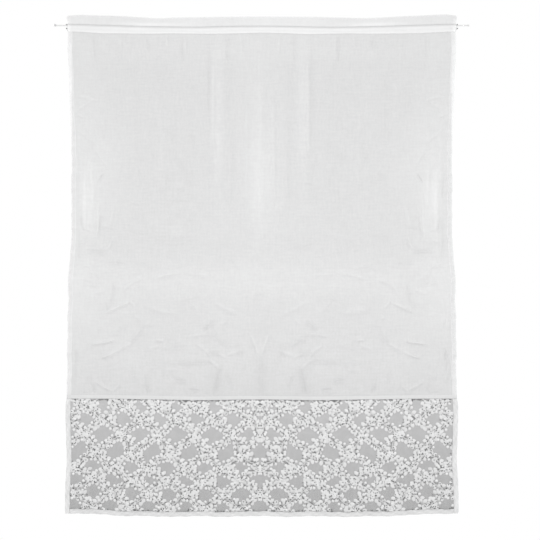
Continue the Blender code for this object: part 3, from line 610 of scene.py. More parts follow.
def voile_cloth():
    half_layer, hem_extra = CLOTH / 2, 0.45
    hem = np.zeros(COUNT)
    hem[:N_EDGE] = hem[-N_EDGE:] = 1.0
    thread = np.zeros(COUNT)            # the hem's stitch line, drawn in
    thread[N_EDGE - 1] = thread[-N_EDGE] = 1.0
    inner = slice(N_EDGE, N_EDGE + COLUMNS + 1)
    rows = []                # each row: points front to back, zone below it, lights, present
    full = np.ones(COUNT, bool)
    sides = full.copy()
    sides[N_EDGE + 1:N_EDGE + COLUMNS] = False

    for step, fold in ((1.0, 0.30), (0.97, 0.7), (0.93, 1.0), (0.82, 1.0), (0.66, 1.0),
                       (0.48, 1.0), (0.30, 1.0), (0.15, 0.95), (0.06, 0.8), (0.0, 0.5)):
        level = HEADER_BASE + step * (HEADER_TOP - HEADER_BASE)
        x = across(half_width(level) + 0.3 * np.sin(step * 9.0))
        base = HEADER_BASE + 0.3 - station("rod", x)
        z = base + step * (station("top", x) - base)
        y = header_wave(x) * step
        for px, half, out in ((173, 9, 1.8), (347, 9, 1.6), (205, 12, 0.9), (318, 12, 0.8),
                              (110, 14, 0.8), (410, 14, 0.9), (259, 16, -0.7)):
            y = y - out * step * hump((x - (px - 261.3) * 3.6 - 6.0 * (1 - step)) / (half * 2.0))
        y = y - 0.35 * np.sin(x / 7.3) * (1 - step) ** 2 - 0.2 * np.sin(x / 4.1 + 1.0) * (1 - step)
        t = fold * 0.62
        px = x / 3.6 + 261.3
        # painted light on the header: a little lighter in the middle, lighter at both ends, in two wide patches and
        # low down
        light = 0.015 * hump((px - 259.5) / 130.0) 
        light += 0.11 * smooth((np.abs(x) - 686.0) / 8.0) * hump((step - 0.28) / 0.5)
        light += 0.10 * hump((step - 0.20) / 0.30) * (hump((px - 150) / 56.0) + hump((px - 372) / 50.0)) + 0.025 * hump((step - 0.15) / 0.2)
        # zone 4 is the groove with its painted shade
        zone = 5 if step > 0.95 else (4 if step < 0.03 else 1)
        rows.append(([(x, y - t - 0.1 * hem * step, z), (x, y + t + hem_extra * hem * step, z)],
                     zone, light, full))
    for n, wall in enumerate(POCKET):
        x = across(half_width(wall.up))
        z = wall.up - station("rod", x) - foot_drop(x, wall.up)
        flat = smooth((-2.0 - wall.up) / 10.0) * (1.0 if wall.inner else 0.0)
        slack = (0.35 * np.sin(x / 41.0 + 0.4) + 0.25 * np.sin(x / 17.0 + 1.9)) * flat
        if wall.inner == 0.0:
            layers = [(x, -wall.outer + 0 * x, z), (x, 0 * x, z), (x, wall.outer + 0 * x, z)]
        else:
            layers = [(x, -wall.outer - slack, z), (x, -wall.inner - slack, z),
                      (x, wall.inner - slack, z), (x, wall.outer - slack, z)]
        zone = 4 if wall.up > 2.5 else (0 if n == len(POCKET) - 1 else 2)
        # painted light on the pocket, lighter at both ends
        light = wall.light + 0.08 * smooth((np.abs(x) - 684.0) / 9.0) + 0.12 * smooth((np.abs(x) - 700.0) / 3.5)
        rows.append((layers, zone, light, full))

    def flat_row(level, zone, present):
        x = across(half_width(level) + edge_ripple(level))
        lv = np.full(x.shape, float(level))
        y = depth(x, lv)
        z = hung(x, lv)
        allowance = float(level < FREE_FOOT - 0.5)
        t = half_layer * (1.0 if level > SEAM_LEVEL + 0.4 else 0.4)
        front = y - t - 0.12 * hem + 0.22 * thread
        back = y + t + hem_extra * hem - 0.2 * thread + 0.5 * allowance * (level > SEAM_LEVEL + 0.4)
        # painted light: the hem's highlight on the hem, the voile's painted light and shade elsewhere, a little
        # darker above the free cloth
        light = np.where(hem > 0, hem_light(x, lv) - 0.012, light_at(x, lv))
        if level > FREE_TOP + 1.0:
            light = light - 0.03
        rows.append(([(x, front, z), (x, back, z)], zone, light, present))

    flat_row(-22.0, 0, full)
    flat_row(-24.2, 0, full)
    flat_row(FREE_TOP, 0, full)
    top_row = len(rows) - 1
    side_levels = np.linspace(FREE_TOP, FREE_FOOT, 156)[1:-1]
    for level in side_levels:
        flat_row(level, 0, sides)
    flat_row(FREE_FOOT, 3, full)
    foot_row = len(rows) - 1
    for level in (SEAM_LEVEL + 8.0, SEAM_LEVEL + 4.0, SEAM_LEVEL - 0.4, SEAM_LEVEL - 1.6):
        flat_row(level, 3, full)

    points, light, index, total = [], [], [], 0
    for layers, zone, shade, present in rows:
        numbers = []
        for px, py, pz in layers:
            n = np.full(COUNT, -1)
            n[present] = total + np.arange(present.sum())
            total += present.sum()
            numbers.append(n)
            points.append(np.stack([px, py, pz], 1)[present])
            light.append(shade[present])
        index.append(numbers)

    # the free cloth between the sewn edges: its outline, then the points inside
    outline_front, outline_back, outline_xy = [], [], []

    def on_outline(row, columns, level):
        x = across(half_width(level) + edge_ripple(level))
        for c in columns:
            outline_front.append(index[row][0][c])
            outline_back.append(index[row][-1][c])
            outline_xy.append((x[c], level))

    first, last = N_EDGE, N_EDGE + COLUMNS
    on_outline(top_row, range(first, last + 1), FREE_TOP)
    for k, level in enumerate(side_levels):
        on_outline(top_row + 1 + k, [last], level)
    on_outline(foot_row, range(last, first - 1, -1), FREE_FOOT)
    for k in range(len(side_levels) - 1, -1, -1):
        on_outline(top_row + 1 + k, [first], side_levels[k])
    free = free_points()
    border = len(outline_xy)
    places_2d = [Vector(p) for p in outline_xy] + [Vector(p) for p in free.tolist()]
    verts, _, triangles, _, _, _ = delaunay_2d_cdt(
        places_2d, [], [list(range(border))[::-1]], 1, 1e-4)
    tri = np.array(triangles)
    xy = np.array([(v.x, v.y) for v in verts])[border:]
    x, lv = xy[:, 0], xy[:, 1]
    side = half_width(lv) - HEM_WIDTH
    ease = smooth((side - np.abs(x)) / 22.0) * smooth((FREE_TOP - lv) / 14.0)
    ease = ease * smooth((lv - FREE_FOOT) / 16.0)
    high, painted_light = creasing(x, lv)
    y = depth(x, lv) - (high + unevenness(x, lv)) * ease
    z = hung(x, lv)
    # painted light and shade of the free voile: the table and the creases
    shade = light_at(x, lv) + painted_light * ease
    front_of = np.concatenate([outline_front, total + np.arange(len(x))])
    back_of = np.concatenate([outline_back, total + len(x) + np.arange(len(x))])
    points += [np.stack([x, y - half_layer, z], 1), np.stack([x, y + half_layer, z], 1)]
    light += [shade, shade]
    tri_front, tri_back = front_of[tri], back_of[tri][:, ::-1]

    faces, zone = [], []

    def add(quads, z):
        quads = np.asarray(quads)
        ok = (quads >= 0).all(axis=1)
        faces.append(quads[ok])
        zone.append(np.broadcast_to(np.asarray(z), (len(quads),))[ok])

    in_hem = np.zeros(COUNT - 1, bool)
    in_hem[:N_EDGE] = in_hem[-N_EDGE:] = True
    thin = np.zeros(COUNT - 1, bool)
    thin[:2] = thin[-2:] = True
    extra, extra_zone = [], []
    for k in range(len(rows) - 1):
        a, b = index[k], index[k + 1]
        band = np.full(COUNT - 1, rows[k][1])
        if rows[k][1] == 0:
            band[in_hem] = 3
        band[thin] = 5
        a_full, b_full = rows[k][3].all(), rows[k + 1][3].all()
        front = np.stack([a[0][:-1], b[0][:-1], b[0][1:], a[0][1:]], 1)
        back = np.stack([a[-1][:-1], a[-1][1:], b[-1][1:], b[-1][:-1]], 1)
        if not (a_full and b_full) or (k == top_row):
            front, back = front.copy(), back.copy()
            front[N_EDGE:-N_EDGE] = -1
            back[N_EDGE:-N_EDGE] = -1
        add(front, band)
        add(back, band)
        if len(a) > 2 and len(b) > 2:
            add(np.stack([a[1][:-1], a[1][1:], b[1][1:], b[1][:-1]], 1), 2)
            add(np.stack([a[-2][:-1], b[-2][:-1], b[-2][1:], a[-2][1:]], 1), 2)
        for j, turn in ((0, 1), (COUNT - 1, -1)):
            p, q = [n[j] for n in a], [n[j] for n in b]
            if len(p) == 2 and len(q) == 2:
                ends = [(p[0], p[1], q[1], q[0])]
            elif len(p) == 2:
                ends = [(p[0], p[1], q[1]), (p[1], q[2], q[1]), (p[0], q[1], q[0])]
            elif len(q) == 2:
                ends = [(p[0], p[1], q[0]), (p[1], q[1], q[0]), (p[1], p[2], q[1])]
            else:
                ends = [(p[0], p[1], q[1], q[0]), (p[-2], p[-1], q[-1], q[-2])]
            for e in ends:
                e = e[::turn]
                if len(e) == 4:
                    add(np.array([e]), 5)
                else:
                    extra.append(e)
    top, foot = index[0], index[-1]
    add(np.stack([top[0][:-1], top[0][1:], top[-1][1:], top[-1][:-1]], 1), 5)
    add(np.stack([foot[0][:-1], foot[-1][:-1], foot[-1][1:], foot[0][1:]], 1), 3)
    quads = np.concatenate(faces)
    tris = np.concatenate([np.array(extra), tri_front, tri_back])
    zone = np.concatenate(zone + [np.full(len(extra), 5), np.zeros(len(tri_front) * 2, int)])
    return new_object("voile_cloth", np.concatenate(points), [quads, tris],
                      [VOILE, DOUBLED, POCKET_CLOTH, HEM_CLOTH, GROOVE_SHADE, SELVAGE], sharp=60.0,
                      zone=zone, light=np.concatenate(light))


# --------------------------------------------------------------- lace net ground
def lace_net():
    levels = np.concatenate([
        [SEAM_LEVEL + 11.5, SEAM_LEVEL + 4, SEAM_LEVEL - 1, SEAM_LEVEL - 3.5, SEAM_LEVEL - 6,
         SEAM_LEVEL - 10],
        np.linspace(SEAM_LEVEL - 16, BOTTOM_LEVEL + 28, 56),
        [BOTTOM_LEVEL + 23, BOTTOM_LEVEL + 19.5, BOTTOM_LEVEL + 16, BOTTOM_LEVEL + 12, BOTTOM_LEVEL + 3.2]])
    grids = []
    for level in levels:
        inset = 3.2 if level < SEAM_LEVEL else 2.5
        half = half_width(level)
        x = np.linspace(-half + inset, half - inset, 230)
        lv = np.full(x.shape, level)
        down = (SEAM_LEVEL - level) / (SEAM_LEVEL - BOTTOM_LEVEL)
        # the net a little lighter at the top and darker towards the bottom
        light = 0.115 - 0.32 * np.clip(down, 0, 1) + 0 * x
        patch = 0.5 + 0.5 * np.sin(x / 26.0 + 0.7) * np.sin(x / 61.0 + 2.1)
        # painted shade in patches just under the seam and along the lower strip
        light = light - 0.55 * patch * smooth((level - (SEAM_LEVEL - 9.0)) / 6.0) * (level < SEAM_LEVEL)
        light = light - 0.30 * (1 - patch * 0.6) * smooth((BOTTOM_LEVEL + 24.0 - level) / 6.0)
        # behind the hem the net lies close on the voile and looks as light as it
        light = light + 0.75 * smooth((level - SEAM_LEVEL - 1.0) / 3.0)
        grids.append((x, lace_middle(x, lv), hung(x, lv), light))
    x, y, z, light = (np.array([g[k] for g in grids]) for k in range(4))
    front = np.stack([x, y - NET / 2, z], -1).reshape(-1, 3)
    back = np.stack([x, y + NET / 2, z], -1).reshape(-1, 3)
    r, c = x.shape
    n = r * c
    quads = [grid_faces(r, c), grid_faces(r, c, n, flip=True)]
    ring = np.concatenate([np.arange(c), np.arange(1, r) * c + c - 1,
                           (r - 1) * c + np.arange(c - 2, -1, -1), np.arange(r - 2, 0, -1) * c])
    nxt = np.roll(ring, -1)
    quads.append(np.stack([ring, nxt, nxt + n, ring + n], 1))
    return new_object("lace_net", np.concatenate([front, back]), np.concatenate(quads),
                      [NET_CLOTH], sharp=60.0, light=np.tile(light.reshape(-1), 2))


# ----------------------------------------------------------- embroidery patterns
LOW, HIGH = SEAM_LEVEL - 2.4, BOTTOM_LEVEL + STRIP_WIDTH + 0.8
AXIS = at_px(MIDDLE, 0)[0]        # the repeat turns over at this x


class Motifs:
    """Collects many small raised shapes that lie on the lace and joins them.

    Each is laid on the left half and, turned over, on the right half."""

    def __init__(self):
        self.points, self.tris, self.light, self.count = [], [], [], 0

    def put(self, points, tris, margin=1.5, light=0.0):
        """points: x, level, height to the front; cut short at the strips and the seam."""
        for turned in (False, True):
            p = points.copy()
            p[:, 0] = np.minimum(p[:, 0], AXIS)
            if np.ptp(p[:, 0]) < 0.8:
                return
            if turned:
                p[:, 0] = 2 * AXIS - p[:, 0]
            middle = p.mean(axis=0)
            limit = half_width(middle[1]) - STRIP_WIDTH - 0.8
            if abs(middle[0]) > limit - margin or not HIGH + margin < middle[1] < LOW - margin:
                continue
            p[:, 0] = np.clip(p[:, 0], -limit, limit)
            p[:, 1] = np.clip(p[:, 1], HIGH, LOW)
            self.points.append(p)
            self.tris.append(self.count + (tris[:, ::-1] if turned else tris))
            self.light.append(np.full(len(p), light))
            self.count += len(p)

    def lens(self, x, level, radii, turn=0.0, front=0.9, back=0.4, crown=0.6, light=0.0):
        """A closed domed shape, flat behind; radii are its outline's distances from the middle."""
        n = len(radii)
        a = np.linspace(0, 2 * np.pi, n, endpoint=False)
        ox, oz = radii * np.cos(a), radii * np.sin(a)
        c, s = math.cos(turn), math.sin(turn)
        ox, oz = ox * c - oz * s, ox * s + oz * c
        px = np.concatenate([x + ox, x + crown * ox, [x], x + 0.9 * ox])
        pl = np.concatenate([level + oz, level + crown * oz, [level], level + 0.9 * oz])
        up = np.concatenate([np.full(n, 0.34), np.full(n, front * 0.85), [front], np.full(n, -back)])
        k = np.arange(n)
        k2 = (k + 1) % n
        rear, fan = 2 * n + 1, np.arange(1, n - 1)
        self.put(np.stack([px, pl, up], 1), np.concatenate([
            np.stack([k, k2, n + k2], 1), np.stack([k, n + k2, n + k], 1),
            np.stack([n + k, n + k2, np.full(n, 2 * n)], 1),
            np.stack([k2, k, rear + k], 1), np.stack([k2, rear + k, rear + k2], 1),
            np.stack([rear + fan + 1, rear + fan, np.full(n - 2, rear)], 1)]), light=light)

    def plate(self, x, level, radii, turn=0.0, front=0.35, back=0.35, light=0.0):
        """A flat closed shape that shows on both sides of the net."""
        n = len(radii)
        a = np.linspace(0, 2 * np.pi, n, endpoint=False)
        ox, oz = radii * np.cos(a), radii * np.sin(a)
        c, s = math.cos(turn), math.sin(turn)
        ox, oz = ox * c - oz * s, ox * s + oz * c
        px = np.concatenate([x + ox, x + ox])
        pl = np.concatenate([level + oz, level + oz])
        up = np.concatenate([np.full(n, front), np.full(n, -back)])
        k = np.arange(n)
        k2 = (k + 1) % n
        fan = np.arange(1, n - 1)
        self.put(np.stack([px, pl, up], 1), np.concatenate([
            np.stack([np.zeros(n - 2, int), fan, fan + 1], 1),
            np.stack([np.full(n - 2, n), n + fan + 1, n + fan], 1),
            np.stack([k, n + k, n + k2], 1), np.stack([k, n + k2, k2], 1)]), light=light)

    def cord(self, path, radius, off=0.35, sides=4, light=0.0):
        """A thread along a path of (x, level) points; only the part on the left half."""
        path = np.asarray(path, float)
        path = path[path[:, 0] < AXIS + 1.0]
        for piece in np.split(path, np.flatnonzero(np.linalg.norm(np.diff(path, axis=0), axis=1) > 14) + 1):
            for turned in (False, True):
                p = piece.copy()
                if turned:
                    p[:, 0] = 2 * AXIS - p[:, 0]
                ok = ((np.abs(p[:, 0]) < half_width(p[:, 1]) - STRIP_WIDTH - 1.8)
                      & (p[:, 1] < LOW - 0.6) & (p[:, 1] > HIGH + 0.6))
                if ok.sum() < 2:
                    continue
                first, last = np.flatnonzero(ok)[[0, -1]]
                self._one_cord(p[first:last + 1], radius, off, sides, light)

    def _one_cord(self, path, radius, off, sides, light):
        n = len(path)
        along = np.gradient(path, axis=0)
        along /= np.maximum(np.linalg.norm(along, axis=1), 1e-6)[:, None]
        side = np.stack([-along[:, 1], along[:, 0]], 1)
        a = 2 * np.pi * (np.arange(sides) + 0.5) / sides
        taper = np.minimum(1.0, 0.35 + np.minimum(np.arange(n), n - 1 - np.arange(n)) * 0.6)
        r = radius * taper
        px = path[:, 0:1] + side[:, 0:1] * np.cos(a) * r[:, None]
        pl = path[:, 1:2] + side[:, 1:2] * np.cos(a) * r[:, None]
        up = off + np.sin(a)[None, :] * r[:, None] + 0 * px
        self.points.append(np.stack([px, pl, up], -1).reshape(-1, 3))
        i = np.arange(n - 1)[:, None] * sides
        k = np.arange(sides)[None, :]
        k2 = (k + 1) % sides
        quads = np.stack([i + k, i + k2, i + sides + k2, i + sides + k], -1).reshape(-1, 4)
        tris = [quads[:, [0, 2, 1]], quads[:, [0, 3, 2]]]
        fan = np.arange(1, sides - 1)
        tris.append(np.stack([np.zeros(sides - 2, int), fan, fan + 1], 1))
        last = (n - 1) * sides
        tris.append(np.stack([np.full(sides - 2, last), last + fan + 1, last + fan], 1))
        self.tris.append(self.count + np.concatenate(tris))
        self.light.append(np.full(n * sides, light))
        self.count += n * sides

    def build(self, name, material, sharp=70.0):
        p = np.concatenate(self.points)
        x, level, up = p[:, 0], p[:, 1], p[:, 2]
        y = lace_middle(x, level) - up
        down = np.clip((SEAM_LEVEL - level) / (SEAM_LEVEL - BOTTOM_LEVEL), 0, 1)
        # the motifs a little darker towards the bottom
        light = np.concatenate(self.light) + 0.028 - 0.065 * down
        return new_object(name, np.stack([x, y, hung(x, level)], 1), np.concatenate(self.tris),
                          [material], sharp=sharp, light=light)


def oval(n, long, wide, point=0.0):
    """Outline radii of a leaf: long along its own x axis, with a slight tip."""
    a = np.linspace(0, 2 * np.pi, n, endpoint=False)
    r = 1.0 / np.sqrt((np.cos(a) / long) ** 2 + (np.sin(a) / wide) ** 2)
    return r * (1.0 + point * np.exp(-(np.angle(np.exp(1j * a)) / 0.45) ** 2))


leaves, berries, petals, stems, shade_spots, outline = (Motifs() for _ in range(6))

# rows of blossoms: y of the row and x of one blossom in it (photo pixels)
LaceRow = namedtuple("LaceRow", "y x")
LACE_ROWS = [LaceRow(406.0, 121.0), LaceRow(419.5, 139.5), LaceRow(434.0, 121.0),
             LaceRow(453.5, 129.0), LaceRow(467.0, 110.5), LaceRow(479.0, 129.0),
             LaceRow(492.5, 110.0), LaceRow(506.5, 128.5)]
PITCH = 36.9                      # from blossom to blossom in a row, photo pixels


def leaf(x, level, angle, long=7.9, wide=6.8, front=1.0):
    k = rng.uniform(0.88, 1.12)
    radii = oval(10, long * k, wide * k * rng.uniform(0.92, 1.1), 0.22)
    leaves.lens(x, level, radii, angle, front=front * k, crown=0.74, light=rng.uniform(-0.05, 0.05))
    # dark rim shifted down and right: painted shadow of the leaf on the net
    outline.plate(x + 0.2, level - 0.3, radii + 0.35, angle, front=0.2, back=0.0)


def berry(x, level, r=5.1):
    r = r * rng.uniform(0.9, 1.08)
    berries.lens(x, level, np.full(8, r), 0.3, front=1.7, back=0.6, crown=0.68,
                 light=rng.uniform(0.0, 0.08))
    # dark rim shifted down and right: painted shadow of the berry on the net
    outline.plate(x + 0.3, level - 0.4, np.full(8, r + 0.6), 0.3, front=0.22, back=0.0)


# small dark spots of painted shade beside the threads and round the blossoms
def shade_spot(x, level, angle, long=2.6, wide=1.8):
    shade_spots.plate(x, level, oval(6, long * rng.uniform(0.85, 1.2), wide * rng.uniform(0.85, 1.2)),
                  angle, front=1.5, back=0.45)


def blossom(x, level, size=12.2, petals_n=5, turn=0.0):
    bright = rng.uniform(0.02, 0.07)
    for k in range(petals_n):
        a = turn + 2 * math.pi * k / petals_n
        reach = size * 0.50
        px, pl = x + reach * math.cos(a), level + reach * math.sin(a)
        petals.lens(px, pl, oval(10, size * 0.50, size * 0.50), a, front=1.35, crown=0.72, light=bright)
        # dark rim shifted down and right: painted shadow of the petal on the net
        outline.plate(px + 0.3, pl - 0.4, oval(10, size * 0.50 + 0.5, size * 0.50 + 0.5), a,
                      front=0.2, back=0.0)
    petals.lens(x, level, np.full(8, size * 0.30), 0.2, front=2.1, back=0.7, crown=0.7, light=0.07)


def vine(x0, l0, x1, l1, bend, fan=0.0):
    """Two twisted threads, leaves and berries on both sides, dark spots of painted shade close beside.

    fan: side (1 or -1) on which a fan of larger leaves spreads."""
    length = math.hypot(x1 - x0, l1 - l0)
    n = max(14, int(length / 2.2))
    t = np.linspace(0.0, 1.0, n)
    ux, ul = (x1 - x0) / length, (l1 - l0) / length
    sway = bend * np.sin(np.pi * t) + 2.4 * np.sin(3 * np.pi * t + bend) * np.sin(np.pi * t)
    cx = x0 + (x1 - x0) * t - ul * sway
    cl = l0 + (l1 - l0) * t + ux * sway
    turns = max(3, round(length / 6.75))
    wave = 1.7 * np.sin(np.pi * turns * t)
    for sign in (1, -1):
        stems.cord(np.stack([cx - ul * wave * sign, cl + ux * wave * sign], 1), 0.95, off=1.15)
    angle = math.atan2(ul, ux)

    def beside(s, side, out):
        i = min(n - 1, max(0, int(s / length * (n - 1))))
        return cx[i] - ul * out * side, cl[i] + ux * out * side, i

    side = 1 if rng.random() < 0.5 else -1
    s, number = rng.uniform(9.0, 13.0), rng.integers(0, 4)
    while s < length - 7.0:
        number += 1
        if number % 3 == 1:
            bx, bl, i = beside(s + 1.0, side, rng.uniform(13.0, 16.0))
            stems.cord([(cx[i], cl[i]), (0.5 * (cx[i] + bx) - ux * 1.2, 0.5 * (cl[i] + bl) - ul * 1.2),
                        (bx, bl)], 0.9, off=0.9)
            berry(bx, bl)
        else:
            lx, ll, _ = beside(s, side, rng.uniform(7.4, 10.8))
            leaf(lx, ll, angle + side * rng.uniform(0.2, 1.6))
        if rng.random() < 0.34:
            lx, ll, _ = beside(s + 3.0, side, rng.uniform(-2.0, 3.0))
            leaf(lx, ll, angle + rng.uniform(-0.8, 0.8), 6.6, 5.2, front=2.1)
        side = -side
        s += rng.uniform(6.3, 8.7)
    s = rng.uniform(3.0, 6.0)
    while s < length - 3.0:
        for side in (1, -1):
            if rng.random() < 0.60:
                out = rng.uniform(2.4, 5.2) if rng.random() < 0.5 else rng.uniform(5.0, 12.0)
                ex, el, _ = beside(s + rng.uniform(-2.0, 2.0), side, out)
                shade_spot(ex, el, rng.uniform(0.0, math.pi))
        s += rng.uniform(4.8, 6.8)
    if fan:
        for share, out, turn in ((0.26, 18.5, 1.9), (0.46, 19.5, 1.5), (0.66, 18.0, 1.1), (0.38, 28.0, 1.6)):
            if rng.random() < 0.8:
                lx, ll, _ = beside(share * length + rng.uniform(-2.5, 2.5), fan, out + rng.uniform(-1, 1))
                leaf(lx, ll, angle + fan * (turn + rng.uniform(-0.3, 0.3)), 7.8, 6.2)
                ex, el, _ = beside((share + 0.11) * length, fan, out - 3.0)
                shade_spot(ex, el, angle + 1.2)


nodes_by_row = []
for n_row, row in enumerate(LACE_ROWS):
    start = row.x - PITCH * math.floor((row.x - 42.0) / PITCH)
    xs, x = [], start
    while x < MIDDLE - 9.0:
        xs.append(x)
        x += PITCH
    if MIDDLE - xs[-1] > 22.0:
        xs.append(MIDDLE)
    nodes_by_row.append([at_px(v + rng.uniform(-1.2, 1.2) * (v < MIDDLE), row.y + rng.uniform(-0.9, 0.9))
                         for v in xs])
for n_row, row in enumerate(nodes_by_row):
    for x, level in row:
        blossom(x, level, rng.uniform(13.0, 15.0), turn=rng.uniform(0, 1.2))
        for k in range(4):
            a = rng.uniform(0, 1.2) + k * math.pi / 2
            shade_spot(x + 14.5 * math.cos(a), level + 13.5 * math.sin(a), a)
    if n_row + 1 < len(nodes_by_row):
        for x, level in row:
            for x2, level2 in nodes_by_row[n_row + 1]:
                if abs(x2 - x) < 110:
                    right = x2 > x
                    vine(x, level, x2, level2, rng.uniform(0.5, 8.0) * (1 if right else -1),
                         fan=1 if right else 0)
# short sprays that run out under the seam, and from the last row to the lower strip
for x, level in nodes_by_row[0]:
    for dx in (-60.0, -34.0, 30.0, 58.0):
        vine(x, level, x + dx, SEAM_LEVEL + 4.0, rng.uniform(-3, 3))
for x, level in nodes_by_row[-1]:
    for dx in (-58.0, 56.0):
        vine(x, level, x + dx, BOTTOM_LEVEL + STRIP_WIDTH - 8.0, rng.uniform(-3, 3))

# dark dashes of painted shadow in patches just under the seam's edge and just above the lower strip
x = -690.0
while x < AXIS:
    patch = 0.5 + 0.5 * math.sin(x / 26.0 + 0.7) * math.sin(x / 61.0 + 2.1)
    if rng.random() < 0.20 + 0.50 * patch:
        shade_spots.plate(x, SEAM_LEVEL - rng.uniform(4.1, 6.2), oval(8, rng.uniform(2.2, 6.2), rng.uniform(0.9, 1.8)),
                      rng.uniform(-0.15, 0.15), front=1.9, back=0.45)
    if rng.random() < 0.30:
        shade_spots.plate(x, BOTTOM_LEVEL + STRIP_WIDTH + rng.uniform(2.4, 5.0),
                      oval(8, rng.uniform(2.0, 6.0), rng.uniform(0.8, 1.5)), rng.uniform(-0.2, 0.2),
                      front=1.9, back=0.45)
    x += rng.uniform(6.5, 11.5)

net = lace_net()
lace_pieces = [
    leaves.build("lace_leaves", LEAF), berries.build("lace_berries", PETAL),
    petals.build("lace_blossoms", PETAL), stems.build("lace_stems", STEM),
    shade_spots.build("lace_painted_shade_spots", SHADE_SPOT), outline.build("lace_painted_rim_shadows", RIM_SHADOW),
]
panel = voile_cloth()


# -------------------------------------------------------------- binding strips
def strip_profile():
    """Folded strip: (how far in from the fold, to the front); rounded at the fold."""
    inner, outer = NET / 2 + 0.3, NET / 2 + 0.3 + 0.5
    round_out = [(0.9 - 0.9 * math.cos(a), -outer * math.sin(a))
                 for a in np.linspace(-math.pi / 2, math.pi / 2, 9)]
    wall = [(6.0, -outer), (12.5, -outer), (13.4, -outer + 0.22), (14.3, -outer), (STRIP_WIDTH, -outer + 0.05)]
    inside = [(STRIP_WIDTH, -inner), (13.4, -inner), (6.0, -inner), (1.4, -inner), (1.4, inner),
              (6.0, inner), (13.4, inner), (STRIP_WIDTH, inner)]
    back = [(x, -y) for x, y in reversed(wall)]
    return round_out + wall + inside + back


def strip_light(along, inward):
    """Small light and dark places of a folded strip, with painted shade along its stitch line."""
    return (0.045 * np.sin(along / 8.3 + inward / 3.1) + 0.04 * np.sin(along / 3.7 - inward / 2.3 + 1.0)
            + 0.035 * np.sin(along / 23.0 + 0.5) * np.sin(inward / 4.0)
            - 0.07 * hump((inward - 13.4) / 1.6))


def strip_edge(along):
    return 0.45 * (1.0 + np.sin(along / 11.0 + 0.6)) * (1.0 + 0.4 * np.sin(along / 4.3))


def swept(name, loops, material, sharp=45.0, light=None):
    loops = np.array(loops)
    m, n = loops.shape[:2]
    k = np.arange(n)
    k2 = (k + 1) % n
    quads = np.concatenate([np.stack([i * n + k, i * n + k2, (i + 1) * n + k2, (i + 1) * n + k], 1)
                            for i in range(m - 1)])
    mesh = bpy.data.meshes.new(name)
    faces = quads.tolist() + [tuple(range(n))[::-1], tuple(range((m - 1) * n, m * n))]
    mesh.from_pydata((loops.reshape(-1, 3) * MM).tolist(), [], faces)
    mesh.validate()
    mesh.shade_smooth()
    mesh.set_sharp_from_angle(angle=math.radians(sharp))
    if light is not None:
        layer = mesh.attributes.new("light", "FLOAT", "POINT")
        layer.data.foreach_set("value", np.asarray(light, np.float32).reshape(-1))
    mesh.materials.append(material)
    piece = bpy.data.objects.new(name, mesh)
    bpy.context.collection.objects.link(piece)
    return piece


def side_binding(name, side):
    loops, lights = [], []
    for level in np.linspace(BOTTOM_LEVEL, SEAM_LEVEL - 0.7, 130):
        half = half_width(level) + edge_ripple(level) * 0.7
        prof = np.array(strip_profile())
        lights.append(strip_light(level * side, prof[:, 0]))
        if side < 0:
            lights[-1] = lights[-1][::-1]
        prof[:, 0] += np.where(prof[:, 0] > STRIP_WIDTH - 0.1, strip_edge(level), 0.0)
        x = side * (half - prof[:, 0])
        lv = np.full(x.shape, level)
        y = prof[:, 1] + depth(x, lv) + lace_offset(lv)
        loops.append(np.stack([x, y, hung(x, lv)], 1))
        loops[-1] = loops[-1][::-1] if side < 0 else loops[-1]
    return swept(name, loops, BINDING, light=lights)


def bottom_binding(name):
    loops, lights = [], []
    for s in np.linspace(-1, 1, 430):
        prof = np.array(strip_profile())
        lights.append(strip_light(s * 700.0, prof[:, 0]) - 0.055)
        prof[:, 0] += np.where(prof[:, 0] > STRIP_WIDTH - 0.1, strip_edge(s * 700.0), 0.0)
        lv = BOTTOM_LEVEL + prof[:, 0] + 0.6 * math.sin(s * 83.0) + 0.5 * math.sin(s * 37.0)
        x = s * (half_width(BOTTOM_LEVEL + prof[:, 0]) - STRIP_WIDTH - 0.5)
        y = prof[:, 1] + depth(x, np.maximum(lv, BOTTOM_LEVEL))
        loops.append(np.stack([x, y, hung(x, lv)], 1))
    return swept(name, loops, BINDING, light=lights)


strip_left = side_binding("binding_cloth_left", -1)
strip_right = side_binding("binding_cloth_right", 1)
strip_bottom = bottom_binding("binding_cloth_bottom")


# -------------------------------------------------------------------- stitching
def stitch_row(points, normals, store, length=2.7, pitch=3.5, wide=0.42, high=0.34):
    """Small separate stitches along a line of points, standing out along normals."""
    points, normals = np.asarray(points, float), np.asarray(normals, float)
    step = np.linalg.norm(np.diff(points, axis=0), axis=1)
    total = np.concatenate([[0], np.cumsum(step)])
    where = np.arange(pitch / 2, total[-1] - pitch / 2, pitch)

    def at(s):
        return np.stack([np.interp(s, total, points[:, k]) for k in range(3)], 1)

    normal = np.stack([np.interp(where, total, normals[:, k]) for k in range(3)], 1)
    a, b = at(where - length / 2), at(where + length / 2)
    along = (b - a) / np.linalg.norm(b - a, axis=1)[:, None]
    side = np.cross(normal, along)
    m = (a + b) / 2
    w, h = side * wide / 2, normal * high
    corners = np.stack([
        a - w * 0.5, a + w * 0.5, m + w, b + w * 0.5, b - w * 0.5, m - w,
        m - along * length * 0.27 + h, m + along * length * 0.27 + h], 1)
    faces = np.array([[0, 1, 6], [1, 2, 6], [2, 7, 6], [2, 3, 7], [3, 4, 7], [4, 5, 7],
                      [5, 6, 7], [5, 0, 6], [0, 5, 1], [5, 2, 1], [5, 4, 2], [4, 3, 2]])
    base = store["count"] + 8 * np.arange(len(where))
    store["points"].append(corners.reshape(-1, 3))
    store["faces"].append((base[:, None, None] + faces[None]).reshape(-1, 3))
    store["count"] += 8 * len(where)


store = {"points": [], "faces": [], "count": 0}
xs = np.linspace(-692, 692, 460)


def straight(level_of, y_front, y_back, x=xs):
    for y, sign in ((y_front, -1.0), (y_back, 1.0)):
        p = np.stack([x, y, level_of], 1)
        stitch_row(p, np.tile([0.0, sign, 0.0], (len(x), 1)), store)


